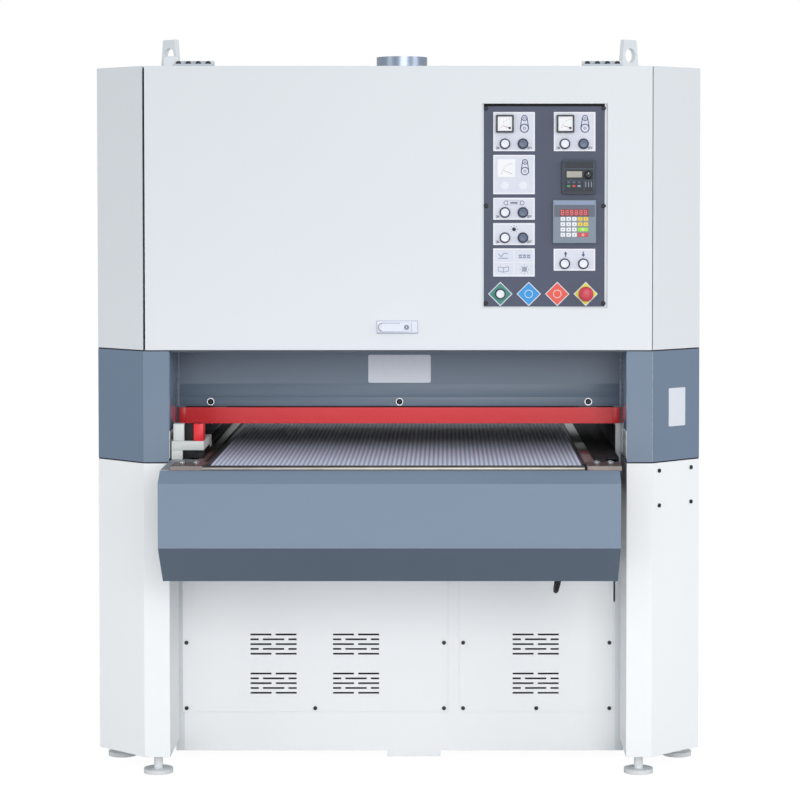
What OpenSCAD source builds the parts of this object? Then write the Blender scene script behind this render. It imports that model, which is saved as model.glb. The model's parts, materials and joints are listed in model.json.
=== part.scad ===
// Wide belt sander with two sanding heads, a top-hinged front door and a rising feed table.
// Units are millimetres: X runs across the machine, Y runs with the feed, Z is up.
// The origin is on the floor, under the middle of the machine.

/* [Body] */
// Overall width over the side covers
body_w = 1664; // [1640:2:1700]
// Depth of the body from front plane to rear plane
body_d = 1300; // [1290:2:1340]
// Height of the hood above the grey band
hood_h = 773; // [768:1:798]
// Width of the slanted corner facet, across the machine
chamfer_w = 140; // [120:1:145]
// Depth of the slanted corner facet, along the feed
chamfer_d = 130; // [110:1:140]
// Width of the front face of each column
column_w = 70; // [64:1:72]
// Thickness of the sheet metal covers
sheet = 3; // [2:0.5:4]
// Height of the lower edge of the side covers
skirt_z = 52; // [50:1:58]
// Height of the lower edge of the grey band
band_z0 = 858; // [850:1:862]
// Height of the upper edge of the grey band
band_z1 = 1162; // [1155:1:1168]
// Distance of a pressure roller from the front of the stand
stand_margin = 82; // [80:1:88]
// Height of the lower edge of the infeed panel
infeed_z = 993; // [992:1:1000]
// Visible seam between covers
seam = 3; // [2:0.5:4]

/* [Frame] */
// Thickness of the side plates
plate_t = 24; // [20:1:25]
// Thickness of the shelves that carry the side covers
shelf_t = 6; // [5:1:8]
// Height of the lower edge of the plinth
plinth_z0 = 17; // [15:1:20]
// Height of the upper edge of the plinth
plinth_z1 = 127; // [120:1:130]
// Depth of the plinth beams
plinth_d = 60; // [50:1:65]
// Height of the upper edge of the access panels
access_z1 = 560; // [550:1:564]
// Diameter of the pad of a levelling foot
foot_pad_d = 80; // [70:1:90]
// Diameter of an anchor hole
anchor_d = 18; // [14:1:20]

/* [Sanding heads] */
// Distance between the two heads along the feed
head_pitch = 310; // [306:1:316]
// Diameter of a contact roller
contact_d = 180; // [176:1:184]
// Diameter of a tension roller
tension_d = 120; // [116:1:124]
// Distance of the tension rollers below the roof
head_room = 196; // [190:1:210]
// Difference in width between a roller and its abrasive belt
abrasive_margin = 30; // [20:1:50]
// Thickness of an abrasive belt
abrasive_t = 1.5; // [1:0.1:2]
// Gap between the end of a roller and the side plate
roller_end_gap = 118; // [115:1:123]
// Diameter of the journals of the head rollers
journal_d = 40; // [36:1:42]
// Radial running clearance of a journal in its bore
running_gap = 0.05; // [0.03:0.01:0.08]
// Clearance between surfaces that move past each other
free_gap = 0.3; // [0.3:0.05:0.5]
// Diameter of a pressure roller
pressure_d = 70; // [66:1:74]

/* [Drive] */
// Height of the motor shafts
motor_z = 290; // [280:1:295]
// Diameter of a main motor
motor_d = 240; // [230:1:250]
// Length of a main motor
motor_len = 380; // [350:1:400]
// Diameter of a motor pulley
motor_pulley_d = 160; // [150:1:170]
// Diameter of a head pulley
head_pulley_d = 140; // [130:1:150]
// Width of the pulleys
pulley_w = 70; // [60:1:75]
// Thickness of a drive belt
drive_belt_t = 8; // [6:1:10]

/* [Feed table] */
// Height of the top of the feed belt
table_z = 875; // [872:1:876]
// Opening between the feed belt and the sanding belts at rest
opening_h = 60; // [58:1:62]
// Reach of the table cover in front of the front plane
table_reach = 325; // [320:1:330]
// Difference in width between a feed roller and the feed belt
feed_belt_margin = 0; // [0:1:20]
// Thickness of the feed belt
feed_belt_t = 5; // [4:0.5:6]
// Diameter of the two feed rollers
feed_roller_d = 120; // [114:1:122]
// Diameter of the feed roller journals
feed_journal_d = 30; // [26:1:34]
// Reach of the table cover past the inner face of the left side plate
cover_lap = 8; // [2:1:12]
// Gap between the table cover and the right side plate
cover_gap = 24; // [18:1:28]
// Height of the lower edge of the table cover
cover_z0 = 568; // [560:1:572]
// Diameter of a lift screw
lift_screw_d = 50; // [46:1:52]
// Distance of the lift screws from the side plates
lift_inset = 63; // [60:1:65]
// Distance of the lift screws from the ends of the stand
lift_inset_y = 89; // [87:1:95]

/* [Front door] */
// Gap between the door and the left upper cover
door_gap_left = 6; // [5:0.5:8]
// Gap between the door and the right upper cover
door_gap_right = 2; // [1:0.5:3]
// Depth of the folded edge of the door
door_depth = 30; // [26:1:32]
// Width of the control plate
panel_w = 339; // [336:1:344]
// Distance of the control plate below the roof
panel_drop = 102; // [98:1:104]
// Distance of the control plate from the right end of the front
panel_inset = 124; // [121:1:127]
// Height of the control plate above the grey band
panel_rise = 118; // [116:1:122]
// Depth of the control plate behind the door face
panel_recess = 8; // [6:1:10]
// Length of a hinge strip
hinge_len = 107; // [100:1:112]
// Distance of the middle of a hinge strip from the end of the front
hinge_inset = 137; // [132:1:147]
// Diameter of a hinge pin
hinge_pin_d = 8; // [7:0.5:8.5]

/* [Controls] */
// Diameter of a push button cap
button_d = 22; // [20:0.5:23]
// Diameter of a button bezel
bezel_d = 29; // [28.5:0.5:31]
// Travel of a push button
button_travel = 4; // [3:0.5:4.5]
// Diameter of the stop mushroom
mushroom_d = 40; // [36:1:42]
// Travel of the stop mushroom
stop_travel = 5; // [4:0.5:6]
// Width of a legend plate
legend_w = 113; // [110:1:115]
// Thickness of a legend plate
legend_t = 2; // [1.5:0.5:2.5]
// Side of an ammeter
ammeter_w = 48; // [46:1:50]
// Diameter of the keypad knob
knob_d = 22; // [18:1:24]

/* [Roof] */
// Outer diameter of the dust outlet
outlet_d = 150; // [140:1:160]
// Height of the dust outlet above the roof
outlet_h = 60; // [50:1:70]
// Height of a lifting lug above the roof
lug_h = 89; // [86:1:94]
// Diameter of the hole in a lifting lug
lug_hole_d = 40; // [30:1:41]
// Thickness of a lifting lug
lug_t = 15; // [12:1:18]
// Turn of a lifting lug about the vertical
lug_turn = 42; // [30:1:50]

/* [Hidden] */
$fn = 64;

// Overrun of a cutting shape past the face it cuts
cut = 1;

// Places of the body
half_w = body_w / 2;
corner_x = half_w - chamfer_w;
column_x = corner_x - column_w;
roof_z = band_z1 + hood_h;
head_y = head_pitch / 2;
pressure_pitch = 175;
pressure_y = head_y + pressure_pitch;
front_y = -body_d / 2;
side_y = front_y + chamfer_d;
recess_y = -(pressure_y + stand_margin);
stand_y = -(recess_y + sheet);
facet_a = atan2(chamfer_d, chamfer_w);
plate_lap = 14;
plate_x0 = column_x - plate_lap;
plate_x1 = plate_x0 + plate_t;
return_w = 30;
roof_under = roof_z - sheet;

// Places that follow from the outer sizes of the body
roller_len = 2 * (plate_x0 - roller_end_gap);
abrasive_w = roller_len - abrasive_margin;
feed_belt_w = roller_len - feed_belt_margin;
cover_left = plate_x0 + cover_lap;
cover_right = plate_x0 - cover_gap;
lift_x = plate_x0 - lift_inset;
lift_y = stand_y - lift_inset_y;
panel_x0 = corner_x - panel_inset - panel_w;
panel_z0 = band_z1 + panel_rise;
panel_z1 = roof_z - panel_drop;
panel_h = panel_z1 - panel_z0;
hinge_x = corner_x - hinge_inset;

// Outline of a side cover, on the right side, with its sheet set in by t
function corner_in(t) = corner_x - t * tan(facet_a / 2);
function side_in(t) = side_y + t * tan((90 - facet_a) / 2);
function facet_y(x, t) = front_y + t + (x - corner_in(t)) * tan(facet_a);
inner_x = half_w - sheet;
inner_front = front_y + sheet;
inner_rear = -inner_front;
column_in = column_x + sheet;

// Basic shapes placed by their limits
module block(x0, x1, y0, y1, z0, z1) {
    translate([x0, y0, z0])
        cube([x1 - x0, y1 - y0, z1 - z0]);
}

module rod_x(d, x0, x1, y, z) {
    translate([x0, y, z])
        rotate([0, 90, 0])
            cylinder(d = d, h = x1 - x0);
}

module rod_y(d, y0, y1, x, z) {
    translate([x, y0, z])
        rotate([-90, 0, 0])
            cylinder(d = d, h = y1 - y0);
}

module rod_z(d, z0, z1, x, y) {
    translate([x, y, z0])
        cylinder(d = d, h = z1 - z0);
}

// A profile drawn in Y and Z, drawn out along X
module along_x(x0, x1) {
    translate([x0, 0, 0])
        rotate([90, 0, 90])
            linear_extrude(x1 - x0)
                children();
}

// A profile drawn in X and Z, drawn out along Y
module along_y(y0, y1) {
    translate([0, y1, 0])
        rotate([90, 0, 0])
            linear_extrude(y1 - y0)
                children();
}

module both_sides() {
    children();
    mirror([1, 0, 0])
        children();
}

module both_ends() {
    children();
    mirror([0, 1, 0])
        children();
}

// The filled outline of a belt around two round places, one above the other
module belt_outline(y, z0, d0, z1, d1) {
    lean = asin((d0 - d1) / 2 / (z1 - z0));
    translate([y, z0])
        circle(d = d0);
    translate([y, z1])
        circle(d = d1);
    polygon([
        [y - d0 / 2 * cos(lean), z0 + d0 / 2 * sin(lean)],
        [y - d1 / 2 * cos(lean), z1 + d1 / 2 * sin(lean)],
        [y + d1 / 2 * cos(lean), z1 + d1 / 2 * sin(lean)],
        [y + d0 / 2 * cos(lean), z0 + d0 / 2 * sin(lean)]
    ]);
}

// Levels of the opening and the heads
contact_z = table_z + opening_h + contact_d / 2;
tension_z = roof_z - head_room;
journal_hole = journal_d + 2 * running_gap;
bearing_gap = 15;
bearing_t = 40;
bearing_x0 = roller_len / 2 + bearing_gap;
bearing_x1 = bearing_x0 + bearing_t;
drive_gap = 52;
drive_x0 = -(plate_x1 + drive_gap);
drive_x1 = drive_x0 - pulley_w;
shaft_hole = 90;

// Base frame: plinth, posts, nut rails, mullion and motor beams
post_w = 48;
rail_w = 90;
rail_z0 = 400;
rail_z1 = 440;
top_rail_h = 30;
mullion_share = 0.25;
mullion_x = mullion_share * plate_x0;
mullion_w = 32;
mullion_d = 20;
motor_beam_w = 60;
motor_x1 = -50;
motor_x0 = motor_x1 - motor_len;
centre_foot_x = 40;
centre_foot_w = 150;
screw_bore = lift_screw_d + 2 * running_gap;

module base_frame() {
    color("gainsboro")
        difference() {
            union() {
                both_ends() {
                    block(-plate_x0, plate_x0, -stand_y, -stand_y + plinth_d, plinth_z0, plinth_z1);
                    block(-plate_x0, plate_x0, -stand_y, -stand_y + mullion_d,
                          access_z1 - top_rail_h, access_z1);
                    block(mullion_x - mullion_w / 2, mullion_x + mullion_w / 2, -stand_y,
                          -stand_y + mullion_d, plinth_z1, access_z1);
                    block(centre_foot_x - centre_foot_w / 2, centre_foot_x + centre_foot_w / 2,
                          -stand_y, -stand_y + plinth_d, 0, plinth_z0);
                }
                both_sides() {
                    block(plate_x0 - plinth_d, plate_x0, -stand_y, stand_y, plinth_z0, plinth_z1);
                    block(plate_x0 - rail_w, plate_x0, -stand_y, stand_y, rail_z0, rail_z1);
                    both_ends()
                        block(plate_x0 - post_w, plate_x0, -stand_y, -stand_y + post_w,
                              plinth_z1, rail_z0);
                }
                for (x = [motor_x0 + motor_beam_w, motor_x1 - motor_beam_w])
                    block(x - motor_beam_w / 2, x + motor_beam_w / 2, -stand_y, stand_y,
                          plinth_z1 - motor_beam_w, plinth_z1);
            }
            both_sides()
                both_ends()
                    rod_z(screw_bore, rail_z0 - cut, rail_z1 + cut, lift_x, lift_y);
        }
}

// Levelling feet under the bottom shelves
foot_pad_t = 12;
foot_stem_d = 24;
corner_foot_inset_x = 32;
corner_foot_inset_y = 50;
side_foot_inset_x = 46;
side_foot_inset_y = 134;
corner_foot_x = corner_x - corner_foot_inset_x;
corner_foot_y = -front_y - corner_foot_inset_y;
side_foot_x = half_w - side_foot_inset_x;
side_foot_y = -side_y - side_foot_inset_y;

module levelling_foot(x, y) {
    rod_z(foot_pad_d, 0, foot_pad_t, x, y);
    rod_z(foot_stem_d, foot_pad_t, skirt_z, x, y);
}

module levelling_feet() {
    color("dimgray")
        both_sides()
            both_ends() {
                levelling_foot(corner_foot_x, corner_foot_y);
                levelling_foot(side_foot_x, side_foot_y);
            }
}

// Side frames: an upright plate with shelves that reach the covers
anchor_inset_x = 92;
anchor_inset_y = 170;
anchor_x = half_w - anchor_inset_x;
anchor_y = -front_y - anchor_inset_y;
belt_slot_gap = 30;
belt_slot_l = 120;
belt_slot_x0 = plate_x1 + belt_slot_gap;
belt_slot_x1 = belt_slot_x0 + belt_slot_l;
belt_slot_w = 200;
bar_pin_d = 10;
bar_pin_set = 19;
bar_pin_drop = 9;
bar_pin_y = recess_y + bar_pin_set;
bar_pin_z = infeed_z - bar_pin_drop;
pressure_rise = 2;
pressure_z = table_z + opening_h + pressure_rise + pressure_d / 2;
pressure_journal_d = 20;
change_window_w = 196;
beam_h = 140;
beam_drop = 52;
beam_z0 = (contact_z + tension_z) / 2 - beam_drop;
window_margin = 30;

module shelf(z0) {
    translate([0, 0, z0])
        linear_extrude(shelf_t)
            difference() {
                polygon([
                    [plate_x0, -stand_y],
                    [column_in, -stand_y],
                    [column_in, inner_front],
                    [corner_in(sheet), inner_front],
                    [inner_x, side_in(sheet)],
                    [inner_x, inner_rear],
                    [column_in, inner_rear],
                    [column_in, stand_y],
                    [plate_x0, stand_y]
                ]);
                for (y = [-head_y, head_y])
                    translate([belt_slot_x0, y - belt_slot_w / 2])
                        square([belt_slot_x1 - belt_slot_x0, belt_slot_w]);
            }
}

module upper_shelf(z0) {
    translate([0, 0, z0])
        linear_extrude(shelf_t)
            polygon([
                [plate_x0, -stand_y],
                [corner_x + sheet, -stand_y],
                [corner_x + sheet, facet_y(corner_x + sheet, sheet)],
                [inner_x, side_in(sheet)],
                [inner_x, inner_rear],
                [column_in, inner_rear],
                [column_in, stand_y],
                [plate_x0, stand_y]
            ]);
}

module side_frame() {
    difference() {
        union() {
            block(plate_x0, plate_x1, -stand_y, stand_y, plinth_z0, roof_under);
            shelf(skirt_z);
            shelf(band_z0 - shelf_t / 2);
            shelf(band_z1 - shelf_t / 2);
            upper_shelf(roof_under - shelf_t);
        }
        for (y = [-head_y, head_y]) {
            rod_x(shaft_hole, plate_x0 - cut, plate_x1 + cut, y, motor_z);
            rod_x(shaft_hole, plate_x0 - cut, plate_x1 + cut, y, contact_z);
        }
        both_ends()
            rod_x(pressure_journal_d + 2 * running_gap, plate_x0 - cut, plate_x1 + cut,
                  pressure_y, pressure_z);
        rod_x(bar_pin_d + 2 * running_gap, plate_x0 - cut, plate_x1 + cut, bar_pin_y, bar_pin_z);
        both_ends()
            rod_z(anchor_d, skirt_z - cut, skirt_z + shelf_t + cut, anchor_x, anchor_y);
    }
}

// The right plate has windows through which the abrasive belts are changed
module side_frames() {
    color("whitesmoke") {
        mirror([1, 0, 0])
            side_frame();
        difference() {
            side_frame();
            for (y = [-head_y, head_y]) {
                block(plate_x0 - cut, plate_x1 + cut, y - change_window_w / 2,
                      y + change_window_w / 2, band_z1 + shelf_t, beam_z0 - window_margin);
                block(plate_x0 - cut, plate_x1 + cut, y - change_window_w / 2,
                      y + change_window_w / 2, beam_z0 + beam_h + window_margin,
                      roof_under - shelf_t - window_margin);
            }
        }
    }
}

// Side covers
module wrapped_cover(z0, z1) {
    translate([0, 0, z0])
        linear_extrude(z1 - z0)
            polygon([
                [column_x, -stand_y],
                [column_x, front_y],
                [corner_x, front_y],
                [half_w, side_y],
                [half_w, -front_y],
                [column_x, -front_y],
                [column_x, stand_y],
                [column_in, stand_y],
                [column_in, inner_rear],
                [inner_x, inner_rear],
                [inner_x, side_in(sheet)],
                [corner_in(sheet), inner_front],
                [column_in, inner_front],
                [column_in, -stand_y]
            ]);
}

module lower_covers() {
    color("white")
        both_sides()
            wrapped_cover(skirt_z, band_z0 - seam / 2);
}

module band_covers() {
    color("lightslategray")
        both_sides()
            wrapped_cover(band_z0 + seam / 2, band_z1);
}

module upper_cover() {
    lip_x = corner_x + sheet;
    translate([0, 0, band_z1 + seam])
        linear_extrude(roof_under - band_z1 - seam)
            polygon([
                [corner_x, front_y + return_w],
                [corner_x, front_y],
                [half_w, side_y],
                [half_w, -front_y],
                [column_x, -front_y],
                [column_x, -front_y - return_w],
                [column_in, -front_y - return_w],
                [column_in, inner_rear],
                [inner_x, inner_rear],
                [inner_x, side_in(sheet)],
                [lip_x, facet_y(lip_x, sheet)],
                [lip_x, front_y + return_w]
            ]);
    translate([0, 0, roof_under])
        linear_extrude(sheet)
            polygon([
                [corner_x, front_y],
                [half_w, side_y],
                [half_w, -front_y],
                [corner_x, -front_y]
            ]);
}

module upper_covers() {
    color("white")
        both_sides()
            upper_cover();
}

// Roof panel with the fixed ears and pins of the door hinges
hinge_set = 50;
hinge_rise = 9;
hinge_y = front_y + hinge_set;
hinge_z = roof_z + hinge_rise;
ear_w = 11;
ear_reach = 7;
ear_back = 20;
roof_gap = 4;
knuckle_gap = 1;
outlet_hole_gap = 1;

module hinge_ears() {
    for (x = [hinge_x - hinge_len / 2 + ear_w / 2, hinge_x + hinge_len / 2 - ear_w / 2])
        block(x - ear_w / 2, x + ear_w / 2, hinge_y - ear_reach, hinge_y + ear_back,
              roof_z, hinge_z + ear_reach);
    rod_x(hinge_pin_d, hinge_x - hinge_len / 2, hinge_x + hinge_len / 2, hinge_y, hinge_z);
}

module roof_panel() {
    color("white") {
        difference() {
            block(-corner_x, corner_x, front_y + door_flange + roof_gap, -front_y,
                  roof_under, roof_z);
            rod_z(outlet_d + 2 * outlet_hole_gap, roof_under - cut, roof_z + cut, 0, 0);
        }
        both_sides()
            hinge_ears();
    }
}

// Rear panels: the hood's back, the outfeed panel and the lower rear panel
module rear_panels() {
    color("white") {
        block(-column_x, column_x, inner_rear, -front_y, band_z1 + seam, roof_under);
        mirror([0, 1, 0])
            recess_sheet();
        block(-column_x, column_x, stand_y, stand_y + sheet, plinth_z1, access_z1);
    }
}

// The bent sheet at the top of a feed recess
canopy_gap = 10;

module recess_sheet() {
    block(-column_x, column_x, recess_y, -stand_y, infeed_z, band_z1);
    block(-column_x, column_x, front_y + canopy_gap, -stand_y, band_z1 - sheet, band_z1);
}

// The infeed panel carries the two fixed ends beside the safety bar
bar_clear = 8;
bar_half = plate_x0 - bar_clear;
bar_end_gap = 3;
bar_z0 = 945;

module infeed_panel() {
    color("slategray") {
        recess_sheet();
        both_sides()
            block(bar_half + bar_end_gap, column_x, recess_y, -stand_y, bar_z0, infeed_z);
    }
}

// Lower access panels with vents and their screws
access_gap_left = 9;
access_gap_right = 19;
access_left_x0 = -(column_x - access_gap_left);
access_left_x1 = mullion_x - mullion_w / 2;
access_right_x0 = mullion_x + mullion_w / 2;
access_right_x1 = column_x - access_gap_right;
vent_w = 130;
vent_row_h = 4.8;
vent_pitch = 13.7;
vent_gap = 12;
vent_short = 23;
vent_rows = 5;
vent_tops = [347, 236];
vent_left_shares = [0.256, 0.567];
vent_right_share = 0.347;
vent_x0s = [
    access_left_x0 + vent_left_shares[0] * (access_left_x1 - access_left_x0),
    access_left_x0 + vent_left_shares[1] * (access_left_x1 - access_left_x0),
    access_right_x0 + vent_right_share * (access_right_x1 - access_right_x0)
];

module vent_slot(x, z, w) {
    block(x, x + w, recess_y - cut, -stand_y + cut, z - vent_row_h / 2, z + vent_row_h / 2);
}

module vent_block(x, z) {
    half_slot = (vent_w - vent_gap) / 2;
    middle = vent_w - 2 * vent_short - 2 * vent_gap;
    for (row = [0 : vent_rows - 1])
        if (row % 2 == 0) {
            vent_slot(x, z - row * vent_pitch, half_slot);
            vent_slot(x + half_slot + vent_gap, z - row * vent_pitch, half_slot);
        } else {
            vent_slot(x, z - row * vent_pitch, vent_short);
            vent_slot(x + vent_short + vent_gap, z - row * vent_pitch, middle);
            vent_slot(x + vent_w - vent_short, z - row * vent_pitch, vent_short);
        }
}

module access_panels() {
    color("white")
        difference() {
            union() {
                block(access_left_x0, access_left_x1, recess_y, -stand_y, plinth_z1, access_z1);
                block(access_right_x0, access_right_x1, recess_y, -stand_y, plinth_z1, access_z1);
            }
            for (x = vent_x0s)
                for (z = vent_tops)
                    vent_block(x, z);
        }
}

// Screws of the access panels, the infeed panel and the right lower cover
screw_d = 11;
screw_h = 3;
screw_inset = 11;
screw_mid_z = 324;
infeed_screw_d = 22;
infeed_screw_inset = 77;
infeed_screw_rise = 13;
infeed_screw_x = plate_x0 - infeed_screw_inset;
infeed_screw_z = infeed_z + infeed_screw_rise;
facet_screw_shares = [0.14, 0.82];
facet_screw_drops = [23, 118];

module front_screw(x, z) {
    rod_y(screw_d, recess_y - screw_h, recess_y, x, z);
}

module panel_screws(x0, x1) {
    for (x = [x0 + screw_inset, (x0 + x1) / 2, x1 - screw_inset])
        front_screw(x, plinth_z1 + screw_inset);
    for (x = [x0 + screw_inset, x1 - screw_inset])
        front_screw(x, screw_mid_z);
}

module cover_screws() {
    color("black") {
        panel_screws(access_left_x0, access_left_x1);
        panel_screws(access_right_x0, access_right_x1);
        for (x = [-infeed_screw_x, 0, infeed_screw_x])
            rod_y(infeed_screw_d, recess_y - screw_h, recess_y, x, infeed_screw_z);
        for (s = facet_screw_shares)
            for (drop = facet_screw_drops)
                translate([corner_x + s * chamfer_w, front_y + s * chamfer_d, band_z0 - drop])
                    rotate([90, 0, facet_a])
                        cylinder(d = screw_d, h = screw_h);
    }
}

// Lifting lugs: upright tapered plates with a hole, turned about the vertical
lug_inset = 46;
lug_set = 295;
lug_x = corner_x - lug_inset;
lug_y = front_y + lug_set;
lug_w0 = 70;
lug_w1 = 50;
lug_hole_z = 45;

module lifting_lug() {
    translate([lug_x, lug_y, roof_z])
        rotate([0, 0, lug_turn])
            along_y(-lug_t / 2, lug_t / 2)
                difference() {
                    polygon([
                        [-lug_w0 / 2, 0],
                        [lug_w0 / 2, 0],
                        [lug_w1 / 2, lug_h],
                        [-lug_w1 / 2, lug_h]
                    ]);
                    translate([0, lug_hole_z])
                        circle(d = lug_hole_d);
                }
}

module lifting_lugs() {
    color("silver")
        both_sides()
            lifting_lug();
}

// Dust outlet: a collar on the roof and the hood between the heads
outlet_wall = 3;
outlet_flange_d = 200;
outlet_flange_t = 4;
hood_inset = 190;
hood_half_w = roller_len / 2 - hood_inset;
hood_half_d = 45;
duct_drop = 50;
duct_h = 385;
hood_z1 = roof_z - duct_drop;
hood_z0 = hood_z1 - duct_h;

module dust_outlet() {
    bore = outlet_d - 2 * outlet_wall;
    color("silver")
        difference() {
            union() {
                rod_z(outlet_d, hood_z1, roof_z + outlet_h, 0, 0);
                rod_z(outlet_flange_d, roof_z, roof_z + outlet_flange_t, 0, 0);
                block(-hood_half_w, hood_half_w, -outlet_d / 2, outlet_d / 2,
                      hood_z1 - outlet_wall, hood_z1);
                block(-hood_half_w, hood_half_w, -hood_half_d, hood_half_d, hood_z0, hood_z1);
            }
            rod_z(bore, hood_z1 - outlet_wall - cut, roof_z + outlet_h + cut, 0, 0);
            block(-hood_half_w + outlet_wall, hood_half_w - outlet_wall, -hood_half_d + outlet_wall,
                  hood_half_d - outlet_wall, hood_z0 - cut, hood_z1 - outlet_wall);
        }
}

// Head beams with their bearing plates, and the lock blocks at the right
beam_half_d = 45;
bearing_margin = 50;
lock_w = 48;

module bearing_plate(x0, x1) {
    block(x0, x1, head_y - beam_half_d, head_y + beam_half_d,
          contact_z - bearing_margin, tension_z + bearing_margin);
}

module head_beam() {
    difference() {
        union() {
            block(-plate_x0, plate_x0 - lock_w, head_y - beam_half_d, head_y + beam_half_d,
                  beam_z0, beam_z0 + beam_h);
            both_sides()
                bearing_plate(bearing_x0, bearing_x1);
        }
        for (z = [contact_z, tension_z])
            rod_x(journal_hole, -bearing_x1 - cut, bearing_x1 + cut, head_y, z);
    }
    block(plate_x0 - lock_w, plate_x0, head_y - beam_half_d, head_y + beam_half_d,
          beam_z0, beam_z0 + beam_h);
}

module head_beams() {
    color("steelblue")
        both_ends()
            head_beam();
}

// Abrasive belts and drive belts, as closed loops around their rollers
module belt_loop(x0, x1, y, z0, d0, z1, d1, gap, t) {
    along_x(x0, x1)
        difference() {
            belt_outline(y, z0, d0 + 2 * gap + 2 * t, z1, d1 + 2 * gap + 2 * t);
            belt_outline(y, z0, d0 + 2 * gap, z1, d1 + 2 * gap);
        }
}

module abrasive_belts() {
    color("sienna")
        both_ends()
            belt_loop(-abrasive_w / 2, abrasive_w / 2, head_y, contact_z, contact_d,
                      tension_z, tension_d, free_gap, abrasive_t);
}

belt_edge = 8;

module drive_belts() {
    color("black")
        both_ends()
            belt_loop(drive_x1 + belt_edge, drive_x0 - belt_edge, head_y, motor_z, motor_pulley_d,
                      contact_z, head_pulley_d, free_gap, drive_belt_t);
}

// Main motors, on the beams of the base frame
shaft_d = 38;
motor_foot_w = 300;
terminal_w = 110;
terminal_h = 60;

module main_motor() {
    difference() {
        union() {
            rod_x(motor_d, motor_x0, motor_x1, head_y, motor_z);
            block(motor_x0 + motor_beam_w / 2, motor_x1 - motor_beam_w / 2,
                  head_y - motor_d / 2, head_y + motor_d / 2, plinth_z1, motor_z - motor_d / 4);
            block(motor_x1 - motor_foot_w, motor_x1 - motor_foot_w + terminal_w,
                  head_y + motor_d / 4, head_y + motor_d / 2 + terminal_h / 2,
                  motor_z - terminal_w / 2, motor_z + terminal_w / 2);
        }
        rod_x(shaft_d + 2 * running_gap, motor_x0 - cut, motor_x0 + motor_len / 2,
              head_y, motor_z);
    }
}

module main_motors() {
    color("royalblue")
        both_ends()
            main_motor();
}

// Lift drive: four sprocket nuts, a chain around them and the lift motor
sprocket_d = 80;
sprocket_h = 14;
chain_t = 6;
chain_h = 8;
nut_gap = 1;
lift_motor_x = 240;
lift_motor_d = 110;
lift_motor_h = 200;

module chain_outline(d) {
    square([2 * lift_x, 2 * lift_y + d], center = true);
    square([2 * lift_x + d, 2 * lift_y], center = true);
    both_sides()
        both_ends()
            translate([lift_x, lift_y])
                circle(d = d);
}

module lift_drive() {
    color("dimgray") {
        both_sides()
            both_ends()
                difference() {
                    rod_z(sprocket_d, rail_z1, rail_z1 + sprocket_h, lift_x, lift_y);
                    rod_z(lift_screw_d + 2 * nut_gap, rail_z1 - cut, rail_z1 + sprocket_h + cut,
                          lift_x, lift_y);
                }
        translate([0, 0, rail_z1 + (sprocket_h - chain_h) / 2])
            linear_extrude(chain_h)
                difference() {
                    chain_outline(sprocket_d + 2 * chain_t);
                    chain_outline(sprocket_d);
                }
        rod_z(sprocket_d, rail_z1, rail_z1 + sprocket_h, lift_motor_x, lift_y);
        rod_z(lift_motor_d, rail_z1 - lift_motor_h, rail_z1, lift_motor_x, lift_y);
        block(lift_motor_x - lift_motor_d / 2, lift_motor_x + lift_motor_d / 2,
              lift_y, stand_y, rail_z1 - lift_motor_h, rail_z1 - lift_motor_h / 2);
    }
}

// Rollers of the heads
hub_d = 60;

module contact_roller(y) {
    color("dimgray") {
        rod_x(contact_d, -roller_len / 2, roller_len / 2, y, contact_z);
        rod_x(journal_d, drive_x1, bearing_x1, y, contact_z);
        rod_x(head_pulley_d, drive_x1, drive_x0, y, contact_z);
        rod_x(hub_d, drive_x0, drive_x0 + belt_edge, y, contact_z);
    }
}

module tension_roller(y) {
    color("silver") {
        rod_x(tension_d, -roller_len / 2, roller_len / 2, y, tension_z);
        rod_x(journal_d, -bearing_x1, bearing_x1, y, tension_z);
    }
}

module contact_roller_1() {
    contact_roller(-head_y);
}

module contact_roller_2() {
    contact_roller(head_y);
}

module tension_roller_1() {
    tension_roller(-head_y);
}

module tension_roller_2() {
    tension_roller(head_y);
}

module motor_pulley(y) {
    color("gray") {
        rod_x(motor_pulley_d, drive_x1, drive_x0, y, motor_z);
        rod_x(shaft_d, drive_x0, motor_x0 + motor_len / 4, y, motor_z);
    }
}

module motor_pulley_1() {
    motor_pulley(-head_y);
}

module motor_pulley_2() {
    motor_pulley(head_y);
}

module pressure_roller(y) {
    color("dimgray") {
        rod_x(pressure_d, -roller_len / 2, roller_len / 2, y, pressure_z);
        rod_x(pressure_journal_d, -plate_x1, plate_x1, y, pressure_z);
    }
}

module infeed_pressure_roller() {
    pressure_roller(-pressure_y);
}

module outfeed_pressure_roller() {
    pressure_roller(pressure_y);
}

// Feed table: rollers, belt and welded frame
table_front = front_y - table_reach;
cover_top_run = 52;
edge_w = 8;
feed_z = table_z - feed_belt_t - feed_roller_d / 2;
feed_outer_r = feed_roller_d / 2 + feed_belt_t;
feed_y = -(table_front + cover_top_run + edge_w) - feed_outer_r - free_gap;
rail_gap = 10;
table_rail_w = 60;
rail_x0 = roller_len / 2 + rail_gap;
rail_x1 = rail_x0 + table_rail_w;
rail_plate = 15;
rail_flange = 10;
rail_drop = 9;
rail_overhang = 40;
rail_top = table_z - rail_drop;
rail_end_y = feed_y + rail_overhang;
bed_gap = 12;
bed_end_y = feed_y - feed_roller_d / 2 - bed_gap;
bed_t = 12;
cross_w = 40;
cross_pitch = 400;
cross_ys = [for (i = [-1.5 : 1 : 1.5]) i * cross_pitch];
cross_clear = 12;
bracket_y = 50;
bracket_z0 = 690;
cover_bracket_t = 6;
cover_bracket_z0 = 690;
cover_bracket_z1 = 820;

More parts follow.
